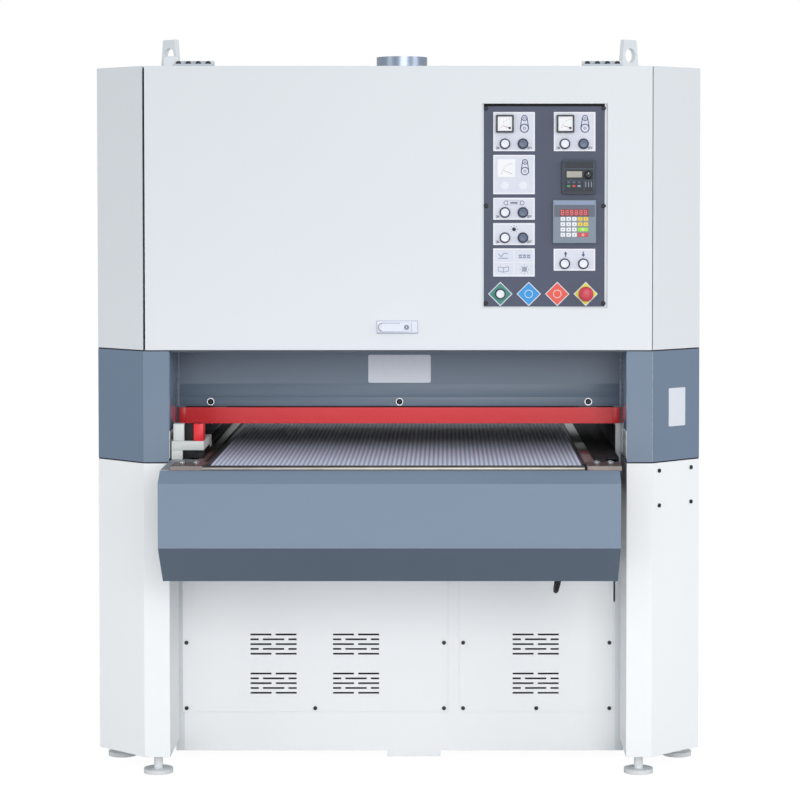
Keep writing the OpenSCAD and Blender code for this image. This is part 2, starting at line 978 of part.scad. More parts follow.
module table_frame() {
    bed_top = table_z - feed_belt_t - free_gap;
    belt_low = feed_z - feed_roller_d / 2;
    color("dimgray")
        difference() {
            union() {
                both_sides() {
                    block(rail_x0, rail_x0 + rail_plate, -rail_end_y, rail_end_y,
                          feed_z - feed_outer_r, rail_top);
                    block(rail_x0, rail_x1, -rail_end_y, rail_end_y, rail_top - rail_flange, rail_top);
                    both_ends() {
                        block(rail_x0, rail_x1, feed_y - bracket_y, rail_end_y,
                              feed_z - feed_journal_d, rail_top);
                        block(rail_x0, plate_x0 - cross_clear, lift_y - bracket_y, lift_y + bracket_y,
                              bracket_z0, feed_z);
                        block(rail_x0 + rail_plate, rail_x0 + rail_plate + cover_bracket_t,
                              -table_front - sheet - cover_top_run * 2, -table_front - sheet,
                              cover_bracket_z0, cover_bracket_z1);
                    }
                }
                for (y = cross_ys)
                    block(-rail_x0, rail_x0, y - cross_w / 2, y + cross_w / 2,
                          belt_low + cross_clear, bed_top - bed_t);
                block(-rail_x0, rail_x0, -bed_end_y, bed_end_y, bed_top - bed_t, bed_top);
            }
            both_ends()
                rod_x(feed_journal_d + 2 * running_gap, -rail_x1 - cut, rail_x1 + cut, feed_y, feed_z);
        }
}

module feed_outline(d) {
    square([2 * feed_y, d], center = true);
    for (y = [-feed_y, feed_y])
        translate([y, 0])
            circle(d = d);
}

module feed_belt() {
    outer = 2 * feed_outer_r;
    color("lightsteelblue")
        along_x(-feed_belt_w / 2, feed_belt_w / 2)
            translate([0, feed_z])
                difference() {
                    feed_outline(outer);
                    feed_outline(feed_roller_d + 2 * free_gap);
                }
}

module feed_roller(y) {
    color("gray") {
        rod_x(feed_roller_d, -roller_len / 2, roller_len / 2, y, feed_z);
        rod_x(feed_journal_d, -rail_x1, rail_x1, y, feed_z);
    }
}

module idler_roller() {
    feed_roller(-feed_y);
}

gearbox_w = 110;
gearbox_reach = 130;
gearbox_gap = 1;
gearbox_x0 = cover_right + gearbox_gap;
gearbox_x1 = gearbox_x0 + gearbox_reach;

module drive_roller() {
    feed_roller(feed_y);
    color("gray")
        rod_x(feed_journal_d, 0, gearbox_x0 + gearbox_reach / 2, feed_y, feed_z);
}

// End covers of the table, front and rear, as bent sheets with end plates
cover_top_z = 867;
cover_face_z1 = 838;
cover_face_z0 = 670;
cover_low_run = 110;

function cover_profile(t) = [
    [table_front + cover_top_run, cover_top_z - t],
    [table_front + t, cover_face_z1],
    [table_front + t, cover_face_z0],
    [table_front + cover_low_run, cover_z0 + t]
];

module table_end_cover() {
    outer = cover_profile(0);
    inner = cover_profile(sheet);
    along_x(-cover_left, cover_right)
        polygon([outer[0], outer[1], outer[2], outer[3], inner[3], inner[2], inner[1], inner[0]]);
    for (x = [-cover_left, cover_right - sheet])
        along_x(x, x + sheet)
            polygon([outer[0], outer[1], outer[2], outer[3]]);
}

module table_end_covers() {
    color("lightslategray")
        both_ends()
            table_end_cover();
}

// Edge plates and bearing covers at the table ends
edge_strip_h = 14;
edge_cap_lap = 30;
edge_cap_l = 110;
edge_cap_x1 = rail_x1 + edge_cap_lap;
edge_cap_y0 = -table_front - cover_top_run - sheet;
edge_cap_y1 = edge_cap_y0 - edge_cap_l;
edge_cap_t = 12;
edge_bolt_d = 16;
edge_bolt_h = 7;
edge_bolt_shares = [0.3, 0.7];

module table_edge_plates() {
    strip_y = table_front + cover_top_run;
    color("silver")
        both_ends() {
            block(-rail_x0, rail_x0, strip_y, strip_y + edge_w - free_gap,
                  rail_top - edge_strip_h, cover_top_z);
            both_sides() {
                block(rail_x0, edge_cap_x1, -edge_cap_y0, -edge_cap_y1, rail_top, rail_top + edge_cap_t);
                for (s = edge_bolt_shares)
                    rod_z(edge_bolt_d, rail_top + edge_cap_t, rail_top + edge_cap_t + edge_bolt_h,
                          rail_x0 + s * (edge_cap_x1 - rail_x0), -(edge_cap_y0 + edge_cap_y1) / 2);
            }
        }
}

// Feed gearmotor on the end of the drive roller
feed_motor_d = 130;
feed_motor_len = 200;

module feed_motor() {
    color("royalblue")
        difference() {
            union() {
                block(gearbox_x0, gearbox_x1, feed_y - gearbox_w / 2, feed_y + gearbox_w / 2,
                      feed_z - gearbox_w / 2, feed_z + gearbox_w / 2);
                rod_z(feed_motor_d, feed_z - gearbox_w / 2 - feed_motor_len, feed_z - gearbox_w / 2,
                      (gearbox_x0 + gearbox_x1) / 2, feed_y);
            }
            rod_x(feed_journal_d + 2 * running_gap, gearbox_x0 - cut,
                  gearbox_x0 + 2 / 3 * gearbox_reach, feed_y, feed_z);
        }
}

// Looped conduit under the table
conduit_d = 13;
conduit_inset = 114;
conduit_set = 225;
conduit_x = cover_right - conduit_inset;
conduit_y = table_front + conduit_set;
conduit_bend_r = 30;
conduit_leg = 180;
conduit_tilt = 12;
conduit_root_z = feed_z - feed_outer_r;

module table_conduit() {
    block_w = 40;
    block_h = 20;
    color("black") {
        translate([conduit_x, conduit_y, conduit_root_z - block_h])
            rotate([0, conduit_tilt, 0]) {
                for (y = [0, 2 * conduit_bend_r])
                    translate([0, y, -conduit_leg])
                        cylinder(d = conduit_d, h = conduit_leg);
                translate([0, conduit_bend_r, -conduit_leg])
                    rotate([-90, 0, 90])
                        rotate_extrude(angle = 180)
                            translate([conduit_bend_r, 0])
                                circle(d = conduit_d);
            }
        block(conduit_x - block_w / 2, rail_x0 + rail_plate, conduit_y - block_h,
              conduit_y + 2 * conduit_bend_r + block_h, conduit_root_z - block_h, conduit_root_z);
    }
}

// Lift screws, fixed to the table brackets
lift_screw_len = 440;

module lift_screws() {
    color("silver")
        both_sides()
            both_ends()
                rod_z(lift_screw_d, bracket_z0 - lift_screw_len, bracket_z0, lift_x, lift_y);
}

// Safety bar: a plate on a rod that turns in the side plates
bar_t = 5;
bar_set = 4;
bar_y = recess_y - bar_set;
bar_top_gap = 3;
web_t = 6;
bar_web_inset = 40;
bar_web_x = bar_half - bar_web_inset;

module safety_bar() {
    color("crimson") {
        block(-bar_half, bar_half, bar_y, bar_y + bar_t, bar_z0, infeed_z - bar_top_gap);
        rod_x(bar_pin_d, -plate_x0 - plate_t / 2, plate_x0 + plate_t / 2, bar_pin_y, bar_pin_z);
        for (x = [-bar_web_x, 0, bar_web_x])
            block(x - web_t / 2, x + web_t / 2, bar_y + bar_t, bar_pin_y,
                  bar_pin_z - bar_pin_d / 2, bar_pin_z + bar_pin_d / 2);
    }
}

// Front door: a folded pan with a framed cut-out for the control plate
door_x0 = -corner_x + door_gap_left;
door_x1 = corner_x - door_gap_right;
door_z0 = band_z1 + seam;
door_flange = 38;
panel_x1 = panel_x0 + panel_w;
frame_lip = 3;
frame_ledge = 12;
plate_y = front_y + panel_recess;
plate_back = plate_y + sheet;
latch_x0 = -58;
latch_x1 = 55;
latch_z0 = 1210;
latch_z1 = 1246;
latch_pivot_x = 24;
latch_pivot_z = 1228;
latch_shaft_d = 12;

module door_panel() {
    color("white")
        difference() {
            union() {
                block(door_x0, door_x1, front_y, front_y + sheet, door_z0, roof_z);
                block(door_x0, door_x1, front_y, front_y + door_flange, roof_under, roof_z);
                block(door_x0, door_x1, front_y, front_y + door_depth, door_z0, door_z0 + sheet);
                block(door_x0, door_x0 + sheet, front_y, front_y + door_depth, door_z0, roof_z);
                block(door_x1 - sheet, door_x1, front_y, front_y + door_depth, door_z0, roof_z);
                block(panel_x0 - frame_lip, panel_x1 + frame_lip, front_y, plate_back + sheet,
                      panel_z0 - frame_lip, panel_z1 + frame_lip);
            }
            block(panel_x0 - free_gap, panel_x1 + free_gap, front_y - cut, plate_back,
                  panel_z0 - free_gap, panel_z1 + free_gap);
            block(panel_x0 + frame_ledge, panel_x1 - frame_ledge, front_y - cut,
                  plate_back + sheet + cut, panel_z0 + frame_ledge, panel_z1 - frame_ledge);
            rod_y(latch_shaft_d + 2 * running_gap, front_y - cut, front_y + sheet + cut,
                  latch_pivot_x, latch_pivot_z);
        }
}

// Hinge strips on the door's top flange, with barrels on the fixed pins
strip_t = 6;
strip_set = 5;
strip_back = 10;
strip_y0 = front_y + strip_set;
strip_y1 = hinge_y - strip_back;
barrel_d = 14;
barrel_half = hinge_len / 2 - ear_w - knuckle_gap;

module hinge_strip() {
    difference() {
        union() {
            block(hinge_x - hinge_len / 2, hinge_x + hinge_len / 2, strip_y0, strip_y1,
                  roof_z, roof_z + strip_t);
            block(hinge_x - barrel_half, hinge_x + barrel_half, strip_y1, hinge_y,
                  roof_z + strip_t / 2, roof_z + strip_t);
            rod_x(barrel_d, hinge_x - barrel_half, hinge_x + barrel_half, hinge_y, hinge_z);
        }
        rod_x(hinge_pin_d + 2 * running_gap, hinge_x - hinge_len, hinge_x + hinge_len,
              hinge_y, hinge_z);
    }
}

module door_hinges() {
    color("dimgray")
        both_sides()
            hinge_strip();
}

// Black domed screws of the hinge strips and of the control plate
strip_screw_d = 15;
strip_screw_h = 8;
strip_screw_pitch = 27;
plate_screw_d = 12;
plate_screw_h = 4;
plate_screw_inset_x = 10;
plate_screw_inset_z = 12;

module domed_screw(d, h) {
    cylinder(d = d, h = h / 2);
    translate([0, 0, h / 2])
        cylinder(d1 = d, d2 = d / 2, h = h / 2);
}

module door_screws() {
    color("black") {
        both_sides()
            for (i = [-1.5 : 1 : 1.5])
                translate([hinge_x + i * strip_screw_pitch, (strip_y0 + strip_y1) / 2, roof_z + strip_t])
                    domed_screw(strip_screw_d, strip_screw_h);
        for (x = [panel_x0 + plate_screw_inset_x, panel_x1 - plate_screw_inset_x])
            for (z = [panel_z0 + plate_screw_inset_z, (panel_z0 + panel_z1) / 2,
                      panel_z1 - plate_screw_inset_z])
                translate([x, plate_y, z])
                    rotate([90, 0, 0])
                        domed_screw(plate_screw_d, plate_screw_h);
    }
}

// Layout of the control plate: shares of its width and height, from its lower left corner
left_plate_share = 0.254;
right_plate_share = 0.738;
left_on_share = 0.181;
left_off_share = 0.325;
right_on_share = 0.660;
right_off_share = 0.809;
head_row_share = 0.804;
feed_row_share = 0.468;
lamp_row_share = 0.344;
lift_row_share = 0.2165;
signal_row_share = 0.068;
meter_row_share = 0.902;
signal_shares = [0.145, 0.373, 0.601, 0.829];
// Lower and upper edge of each legend plate, as shares of the control plate's height
left_legend_shares = [[0.768, 0.960], [0.557, 0.750], [0.432, 0.540], [0.308, 0.416], [0.153, 0.292]];
right_legend_shares = [[0.768, 0.960], [0.182, 0.290]];
signal_share = 0.06;
signal_r = signal_share * panel_h;
signal_side = signal_r * sqrt(2);

function at_x(s) = panel_x0 + s * panel_w;
function at_z(s) = panel_z0 + s * panel_h;

// Places of the buttons and their columns and rows
start_places = [
    [left_on_share, head_row_share],
    [right_on_share, head_row_share],
    [left_on_share, feed_row_share],
    [left_on_share, lamp_row_share]
];
off_places = [
    [left_off_share, head_row_share],
    [right_off_share, head_row_share],
    [left_off_share, feed_row_share],
    [left_off_share, lamp_row_share]
];
up_place = [right_on_share, lift_row_share];
down_place = [right_off_share, lift_row_share];
cycle_place = [signal_shares[0], signal_row_share];
stop_place = [signal_shares[3], signal_row_share];
push_places = concat(start_places, off_places, [up_place, down_place, cycle_place]);
meter_places = [[left_on_share, meter_row_share], [right_on_share, meter_row_share]];

neck_step = 3;
neck_d = button_d + neck_step;
neck_hole_d = neck_d + 2 * free_gap;
neck_len = 30;
contact_w = 30;
contact_l = 20;
bezel_h = 6;
button_len = 20;
button_proud = 4;
meter_barrel_d = 40;
meter_barrel_len = 45;
meter_proud = 10;
keypad_w_share = 0.268;
keypad_h_share = 0.166;
keypad_w = keypad_w_share * panel_w;
keypad_h = keypad_h_share * panel_h;
keypad_x_share = 0.770;
keypad_z_share = 0.641;
keypad_proud = 12;
display_w_share = 0.345;
display_h_share = 0.212;
display_w = display_w_share * panel_w;
display_h = display_h_share * panel_h;
display_x_share = 0.737;
display_z_share = 0.423;
display_proud = 10;
box_depth = 40;
device_edge = 6;
knob_x_share = 0.846;
knob_z_share = 0.652;
knob_h = 10;
knob_shaft_d = 6;

module control_holes(y0, y1) {
    for (p = push_places)
        rod_y(neck_hole_d, y0, y1, at_x(p[0]), at_z(p[1]));
    for (p = meter_places)
        rod_y(meter_barrel_d + 2 * free_gap, y0, y1, at_x(p[0]), at_z(p[1]));
    rod_y(neck_hole_d, y0, y1, at_x(stop_place[0]), at_z(stop_place[1]));
}

module device_hole(xs, zs, w, h) {
    inset = device_edge;
    block(at_x(xs) - w / 2 + inset, at_x(xs) + w / 2 - inset, plate_y - cut, plate_back + cut,
          at_z(zs) - h / 2 + inset, at_z(zs) + h / 2 - inset);
}

module control_plate() {
    color("slategray")
        difference() {
            block(panel_x0, panel_x1, plate_y, plate_back, panel_z0, panel_z1);
            control_holes(plate_y - cut, plate_back + cut);
            device_hole(keypad_x_share, keypad_z_share, keypad_w, keypad_h);
            device_hole(display_x_share, display_z_share, display_w, display_h);
        }
}

module legend_plate(x_share, shares) {
    block(at_x(x_share) - legend_w / 2, at_x(x_share) + legend_w / 2, plate_y - legend_t, plate_y,
          at_z(shares[0]), at_z(shares[1]));
}

module signal_plate(x_share) {
    translate([at_x(x_share), plate_y, at_z(signal_row_share)])
        rotate([90, 45, 0])
            translate([0, 0, legend_t / 2])
                cube([signal_side, signal_side, legend_t], center = true);
}

module legend_plates() {
    color("aliceblue")
        difference() {
            union() {
                for (s = left_legend_shares)
                    legend_plate(left_plate_share, s);
                for (s = right_legend_shares)
                    legend_plate(right_plate_share, s);
                for (s = signal_shares)
                    signal_plate(s);
            }
            control_holes(plate_y - legend_t - cut, plate_y + cut);
        }
}

// Bezels: a ring in front, a neck through the plates and the contact block behind
face_y = plate_y - legend_t;
bezel_y = face_y - bezel_h;
neck_end = face_y + neck_len;

module button_bezel(p) {
    difference() {
        union() {
            rod_y(bezel_d, bezel_y, face_y, at_x(p[0]), at_z(p[1]));
            rod_y(neck_d, face_y, neck_end, at_x(p[0]), at_z(p[1]));
            block(at_x(p[0]) - contact_w / 2, at_x(p[0]) + contact_w / 2, neck_end,
                  neck_end + contact_l, at_z(p[1]) - contact_w / 2, at_z(p[1]) + contact_w / 2);
        }
        rod_y(button_d + 2 * free_gap, bezel_y - cut, neck_end - button_travel,
              at_x(p[0]), at_z(p[1]));
    }
}

module button_bezels() {
    color("midnightblue") {
        for (p = push_places)
            button_bezel(p);
        button_bezel(stop_place);
    }
}

module push_button(p) {
    rod_y(button_d, bezel_y - button_proud, bezel_y - button_proud + button_len,
          at_x(p[0]), at_z(p[1]));
}

module start_button_1() {
    color("white")
        push_button(start_places[0]);
}

module start_button_2() {
    color("white")
        push_button(start_places[1]);
}

module start_button_3() {
    color("white")
        push_button(start_places[2]);
}

module start_button_4() {
    color("white")
        push_button(start_places[3]);
}

module off_button_1() {
    color("slategray")
        push_button(off_places[0]);
}

module off_button_2() {
    color("slategray")
        push_button(off_places[1]);
}

module off_button_3() {
    color("slategray")
        push_button(off_places[2]);
}

module off_button_4() {
    color("slategray")
        push_button(off_places[3]);
}

module table_up_button() {
    color("white")
        push_button(up_place);
}

module table_down_button() {
    color("white")
        push_button(down_place);
}

module cycle_start_button() {
    color("white")
        push_button(cycle_place);
}

// Stop button: a mushroom head on a neck, with its travel clear of the bezel
mushroom_h = 14;
mushroom_gap = 1;

module stop_button() {
    x = at_x(stop_place[0]);
    z = at_z(stop_place[1]);
    head_y0 = bezel_y - stop_travel - mushroom_gap;
    color("red") {
        translate([x, head_y0, z])
            rotate([90, 0, 0])
                rotate_extrude()
                    polygon([
                        [0, 0],
                        [mushroom_d / 2, 0],
                        [mushroom_d / 2, mushroom_h / 2],
                        [mushroom_d / 4, mushroom_h],
                        [0, mushroom_h]
                    ]);
        rod_y(button_d, head_y0, head_y0 + button_len, x, z);
    }
}

// Ammeters: a square face on a round barrel
module ammeters() {
    color("whitesmoke")
        for (p = meter_places) {
            block(at_x(p[0]) - ammeter_w / 2, at_x(p[0]) + ammeter_w / 2, face_y - meter_proud, face_y,
                  at_z(p[1]) - ammeter_w / 2, at_z(p[1]) + ammeter_w / 2);
            rod_y(meter_barrel_d, face_y, face_y + meter_barrel_len, at_x(p[0]), at_z(p[1]));
        }
}

// Inverter keypad and position display: a face on a box that fills its cut-out
module device(xs, zs, w, h, proud) {
    inset = device_edge + free_gap;
    block(at_x(xs) - w / 2, at_x(xs) + w / 2, plate_y - proud, plate_y,
          at_z(zs) - h / 2, at_z(zs) + h / 2);
    block(at_x(xs) - w / 2 + inset, at_x(xs) + w / 2 - inset, plate_y, plate_y + box_depth,
          at_z(zs) - h / 2 + inset, at_z(zs) + h / 2 - inset);
}

module drive_keypad() {
    color("darkslategray")
        difference() {
            device(keypad_x_share, keypad_z_share, keypad_w, keypad_h, keypad_proud);
            rod_y(knob_shaft_d + 2 * running_gap, plate_y - keypad_proud - cut, plate_y,
                  at_x(knob_x_share), at_z(knob_z_share));
        }
}

module keypad_knob() {
    x = at_x(knob_x_share);
    z = at_z(knob_z_share);
    color("black") {
        rod_y(knob_d, plate_y - keypad_proud - knob_h, plate_y - keypad_proud - free_gap, x, z);
        rod_y(knob_shaft_d, plate_y - keypad_proud - free_gap, plate_y - free_gap, x, z);
    }
}

module position_display() {
    color("lightsteelblue")
        device(display_x_share, display_z_share, display_w, display_h, display_proud);
}

// Latch: a plate on the door and a swing handle on its shaft
latch_t = 3;
handle_h = 24;
handle_t = 9;
handle_inset = 4;
handle_x0 = latch_x0 + handle_h / 2 + handle_inset;
lock_d = 15;
latch_nut_d = 24;
latch_nut_t = 8;

module latch_plate() {
    color("white")
        difference() {
            block(latch_x0, latch_x1, front_y - latch_t, front_y, latch_z0, latch_z1);
            rod_y(latch_shaft_d + 2 * running_gap, front_y - latch_t - cut, front_y + cut,
                  latch_pivot_x, latch_pivot_z);
        }
}

module latch_handle() {
    y1 = front_y - latch_t - free_gap;
    back = front_y + sheet + free_gap;
    color("silver") {
        block(handle_x0, latch_pivot_x, y1 - handle_t, y1,
              latch_pivot_z - handle_h / 2, latch_pivot_z + handle_h / 2);
        for (x = [handle_x0, latch_pivot_x])
            rod_y(handle_h, y1 - handle_t, y1, x, latch_pivot_z);
        rod_y(lock_d, y1 - handle_t - latch_t, y1 - handle_t, latch_pivot_x, latch_pivot_z);
        rod_y(latch_shaft_d, y1, back, latch_pivot_x, latch_pivot_z);
        rod_y(latch_nut_d, back, back + latch_nut_t, latch_pivot_x, latch_pivot_z);
    }
}

base_frame();
levelling_feet();
side_frames();
lower_covers();
band_covers();
upper_covers();
roof_panel();
rear_panels();
access_panels();
infeed_panel();
cover_screws();
lifting_lugs();
dust_outlet();
head_beams();
abrasive_belts();
drive_belts();
main_motors();
lift_drive();
contact_roller_1();
contact_roller_2();
tension_roller_1();
tension_roller_2();
motor_pulley_1();
motor_pulley_2();
infeed_pressure_roller();
outfeed_pressure_roller();
table_frame();
feed_belt();
table_end_covers();
table_edge_plates();
feed_motor();
table_conduit();
lift_screws();
idler_roller();
drive_roller();
safety_bar();
door_panel();
door_hinges();
door_screws();
control_plate();
legend_plates();
button_bezels();
ammeters();
drive_keypad();
position_display();
latch_plate();
latch_handle();
stop_button();
keypad_knob();
start_button_1();
start_button_2();
start_button_3();
start_button_4();
table_up_button();
table_down_button();
cycle_start_button();
off_button_1();
off_button_2();
off_button_3();
off_button_4();
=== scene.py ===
import math
import random

import bmesh
import bpy
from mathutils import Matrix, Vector
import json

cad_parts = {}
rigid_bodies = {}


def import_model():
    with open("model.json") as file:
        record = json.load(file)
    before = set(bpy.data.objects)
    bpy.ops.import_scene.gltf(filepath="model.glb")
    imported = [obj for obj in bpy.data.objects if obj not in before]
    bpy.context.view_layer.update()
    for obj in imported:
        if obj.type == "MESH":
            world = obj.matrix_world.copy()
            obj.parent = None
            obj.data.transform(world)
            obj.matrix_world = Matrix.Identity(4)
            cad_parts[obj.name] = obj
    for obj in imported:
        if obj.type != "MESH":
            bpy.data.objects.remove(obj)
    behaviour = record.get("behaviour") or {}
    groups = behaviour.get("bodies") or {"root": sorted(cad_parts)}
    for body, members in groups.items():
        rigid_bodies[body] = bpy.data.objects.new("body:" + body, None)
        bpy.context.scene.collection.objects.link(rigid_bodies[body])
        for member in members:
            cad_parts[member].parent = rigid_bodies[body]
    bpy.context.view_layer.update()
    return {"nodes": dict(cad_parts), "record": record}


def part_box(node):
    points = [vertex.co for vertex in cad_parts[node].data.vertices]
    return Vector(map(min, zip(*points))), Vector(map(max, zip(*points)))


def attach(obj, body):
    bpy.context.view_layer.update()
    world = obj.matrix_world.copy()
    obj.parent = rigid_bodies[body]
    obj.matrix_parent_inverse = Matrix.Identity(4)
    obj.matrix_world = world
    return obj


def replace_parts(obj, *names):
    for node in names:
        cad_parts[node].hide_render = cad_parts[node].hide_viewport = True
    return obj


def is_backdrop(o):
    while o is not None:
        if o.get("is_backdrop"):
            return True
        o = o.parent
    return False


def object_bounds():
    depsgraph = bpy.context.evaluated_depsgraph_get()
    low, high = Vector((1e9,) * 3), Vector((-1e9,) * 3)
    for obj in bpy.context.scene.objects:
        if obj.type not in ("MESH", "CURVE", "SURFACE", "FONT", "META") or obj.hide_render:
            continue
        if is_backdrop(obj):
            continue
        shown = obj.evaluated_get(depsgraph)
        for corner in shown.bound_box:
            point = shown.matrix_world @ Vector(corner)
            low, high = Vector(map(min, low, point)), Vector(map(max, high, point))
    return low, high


for leftover in list(bpy.data.objects):
    bpy.data.objects.remove(leftover)

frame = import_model()

# %% [markdown]
# A wide belt sander is a heavy steel stand with sheet metal bolted round it. The stand, the rollers
# and the table come from the packed model and stay where they are. This script gives each of them
# its real finish and puts the small dressed pieces on them.
#
# Lengths are written in millimetres and turned into metres in one place, because the shop drawings
# of such a machine are in millimetres.

# %% Units and the frame
MM = 0.001
NODES = frame["nodes"]
random.seed(7)
SLOT_OF = {row["node"]: row["material_slot"] for row in frame["record"]["subparts"]}


def mm_box(name):
    """The lowest and highest corner of a CAD node, in millimetres."""
    low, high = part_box(name)
    return low / MM, high / MM


# %% [markdown]
# Every finish is a small node tree. Most of the machine is powder coat: the powder melts into a skin
# with a faint orange peel, and a big panel is never one flat tone, because the film is thicker near
# its edges. Bare steel is brushed along its length, and rubber is dull with dust in it. The three
# need different roughness far more than different colours, so each gets its own function. First come
# the helpers: colours are written as hex codes, and the size of a pattern in millimetres.

# %% Colours, pattern sizes and nodes
def linear(code):
    """An sRGB hex colour as the linear colour that shaders expect."""
    channels = [int(code[i:i + 2], 16) / 255 for i in (1, 3, 5)]
    straight = [c / 12.92 if c <= 0.04045 else ((c + 0.055) / 1.055) ** 2.4 for c in channels]
    return (*straight, 1.0)


def shade(code, factor):
    """The same colour, lighter or darker."""
    r, g, b, a = linear(code)
    return (min(r * factor, 1.0), min(g * factor, 1.0), min(b * factor, 1.0), a)


def repeats(size):
    """How often a pattern of this size in millimetres fits in a metre, which is a noise's scale."""
    return 1 / (size * MM)


def fill(node, inputs):
    """Sets a node's inputs: a socket is linked, and anything else is a constant."""
    for key, value in inputs.items():
        if isinstance(value, bpy.types.NodeSocket):
            node.id_data.links.new(value, node.inputs[key])
        else:
            node.inputs[key].default_value = value


def add(owner, kind, at=(0, 0), settings=None, inputs=None):
    """A new shader node with its settings and its inputs."""
    made = owner.node_tree.nodes.new("ShaderNode" + kind)
    made.location = at
    for key, value in (settings or {}).items():
        setattr(made, key, value)
    fill(made, inputs or {})
    return made


def new_material(name):
    """An empty material, its main shader and its Object coordinates."""
    mat = bpy.data.materials.new(name)
    mat.use_nodes = True
    shader = mat.node_tree.nodes["Principled BSDF"]
    where = add(mat, "TexCoord", (-1400, 0)).outputs["Object"]
    return mat, shader, where


COLOUR_MIX = {"data_type": "RGBA"}
LOW_COLOUR, HIGH_COLOUR, MIXED_COLOUR = 6, 7, 2
print("white is", linear("#FFFFFF"), "and mid grey is", round(linear("#808080")[0], 3))


# %% [markdown]
# Powder coat gives the eye a soft sheen, a faint grain and a tone that drifts over a panel. Real
# orange peel is about a millimetre wide, which is too fine for the picture, so it is drawn a little
# coarser. An image could give the drift, but each panel would have to be unwrapped for it, and noise
# in Object coordinates needs nothing. Where two sheets meet, the ambient occlusion node finds the
# corners and paints them a duller, darker colour: this is painted shade, together with the sanding
# dust that settles there.

# %% Powder coat
DRIFT_SIZE = 625
PEEL_SIZE = 2.38
PEEL_HEIGHT = 0.06 * MM
# How far the painted corner shade reaches, and its colour, which also stands for the dust there.
SHADE_REACH = 25 * MM
CORNER_SHADE_CODE = "#6E6A62"


def powder_coat(name, code, roughness=0.42, peel=0.5, cloud=0.05, dust_and_shade=0.0):
    """Powder coat of one colour. Cloud is its drift in tone; the last argument paints shade and dust
    into its corners.
    """
    mat, shader, where = new_material(name)
    drift = add(mat, "TexNoise", (-1000, 300), None,
                {"Vector": where, "Scale": repeats(DRIFT_SIZE), "Detail": 2.0}).outputs["Fac"]
    grain = add(mat, "TexNoise", (-1000, -300), None,
                {"Vector": where, "Scale": repeats(PEEL_SIZE), "Detail": 2.0}).outputs["Fac"]
    base = add(mat, "Mix", (-500, 250), COLOUR_MIX,
               {"Factor": drift, LOW_COLOUR: shade(code, 1 - cloud),
                HIGH_COLOUR: shade(code, 1 + cloud)}).outputs[MIXED_COLOUR]
    if dust_and_shade:
        # Painted shade: corners that the ambient occlusion finds get a darker colour, along with the
        # dust there.
        open_sky = add(mat, "AmbientOcclusion", (-1000, 600), {"samples": 4, "only_local": False},
                       {"Distance": SHADE_REACH}).outputs["AO"]
        corner_shade = add(mat, "MapRange", (-750, 600), None,
                      {"Value": open_sky, "From Min": 0.2, "From Max": 0.9, "To Min": dust_and_shade,
                       "To Max": 0.0}).outputs["Result"]
        base = add(mat, "Mix", (-250, 350), COLOUR_MIX,
                   {"Factor": corner_shade, LOW_COLOUR: base,
                    HIGH_COLOUR: linear(CORNER_SHADE_CODE)}).outputs[MIXED_COLOUR]
    rough = add(mat, "MapRange", (-500, 0), None,
                {"Value": drift, "To Min": roughness - 0.05, "To Max": roughness + 0.05})
    relief = add(mat, "Bump", (-300, -300), None,
                 {"Height": grain, "Strength": peel, "Distance": PEEL_HEIGHT})
    fill(shader, {"Base Color": base, "Roughness": rough.outputs["Result"],
                  "Normal": relief.outputs["Normal"]})
    return mat


print("powder coat: peel", PEEL_SIZE, "mm, drift", DRIFT_SIZE, "mm")

# %% [markdown]
# Machined or rolled steel carries fine lines along one axis, and they stretch the highlights. The
# lines of a real brushed plate are a tenth of this width. They are drawn coarser so that they show.
# A metal's colour comes from its base colour alone, so its IOR is left as it is.

# %% Bare steel
LINE_WIDTH = 1.11
LINE_LENGTH = 71.4
STAIN_SIZE = 45.5
LINE_HEIGHT = 0.04 * MM


def bare_steel(name, code, roughness=0.32, along=0, grain=0.5, stain=0.12):
    """Steel whose lines run along one axis: 0, 1 or 2 for X, Y or Z."""
    mat, shader, where = new_material(name)
    stretch = [repeats(LINE_WIDTH)] * 3
    stretch[along] = repeats(LINE_LENGTH)
    lines_at = add(mat, "Mapping", (-1200, -200), None, {"Vector": where, "Scale": stretch})
    lines = add(mat, "TexNoise", (-1000, -200), None,
                {"Vector": lines_at.outputs["Vector"], "Scale": 1.0, "Detail": 3.0}).outputs["Fac"]
    patches = add(mat, "TexNoise", (-1000, 300), None,
                  {"Vector": where, "Scale": repeats(STAIN_SIZE), "Detail": 4.0}).outputs["Fac"]
    base = add(mat, "Mix", (-500, 250), COLOUR_MIX,
               {"Factor": patches, LOW_COLOUR: shade(code, 1 - stain),
                HIGH_COLOUR: shade(code, 1 + stain)}).outputs[MIXED_COLOUR]
    rough = add(mat, "MapRange", (-500, 0), None,
                {"Value": lines, "To Min": roughness - 0.1, "To Max": roughness + 0.1})
    relief = add(mat, "Bump", (-300, -300), None,
                 {"Height": lines, "Strength": grain, "Distance": LINE_HEIGHT})
    fill(shader, {"Metallic": 1.0, "Base Color": base, "Roughness": rough.outputs["Result"],
                  "Normal": relief.outputs["Normal"]})
    return mat


print("steel lines:", LINE_WIDTH, "mm wide and", LINE_LENGTH, "mm long")

# %% [markdown]
# Rubber is dull and even, with pale sanding dust caught in its pores. Moulded plastic has an even
# colour, a fine spark-eroded grain from its mould, and small clear highlights.

# %% Rubber and plastic
PORE_SIZE = 1.67
POWDER_SIZE = 28.6
PORE_DEPTH = 0.12 * MM
SPARK_SIZE = 0.667
FLOW_SIZE = 16.7
FLOW_DRIFT = 0.03
SPARK_HEIGHT = 0.03 * MM


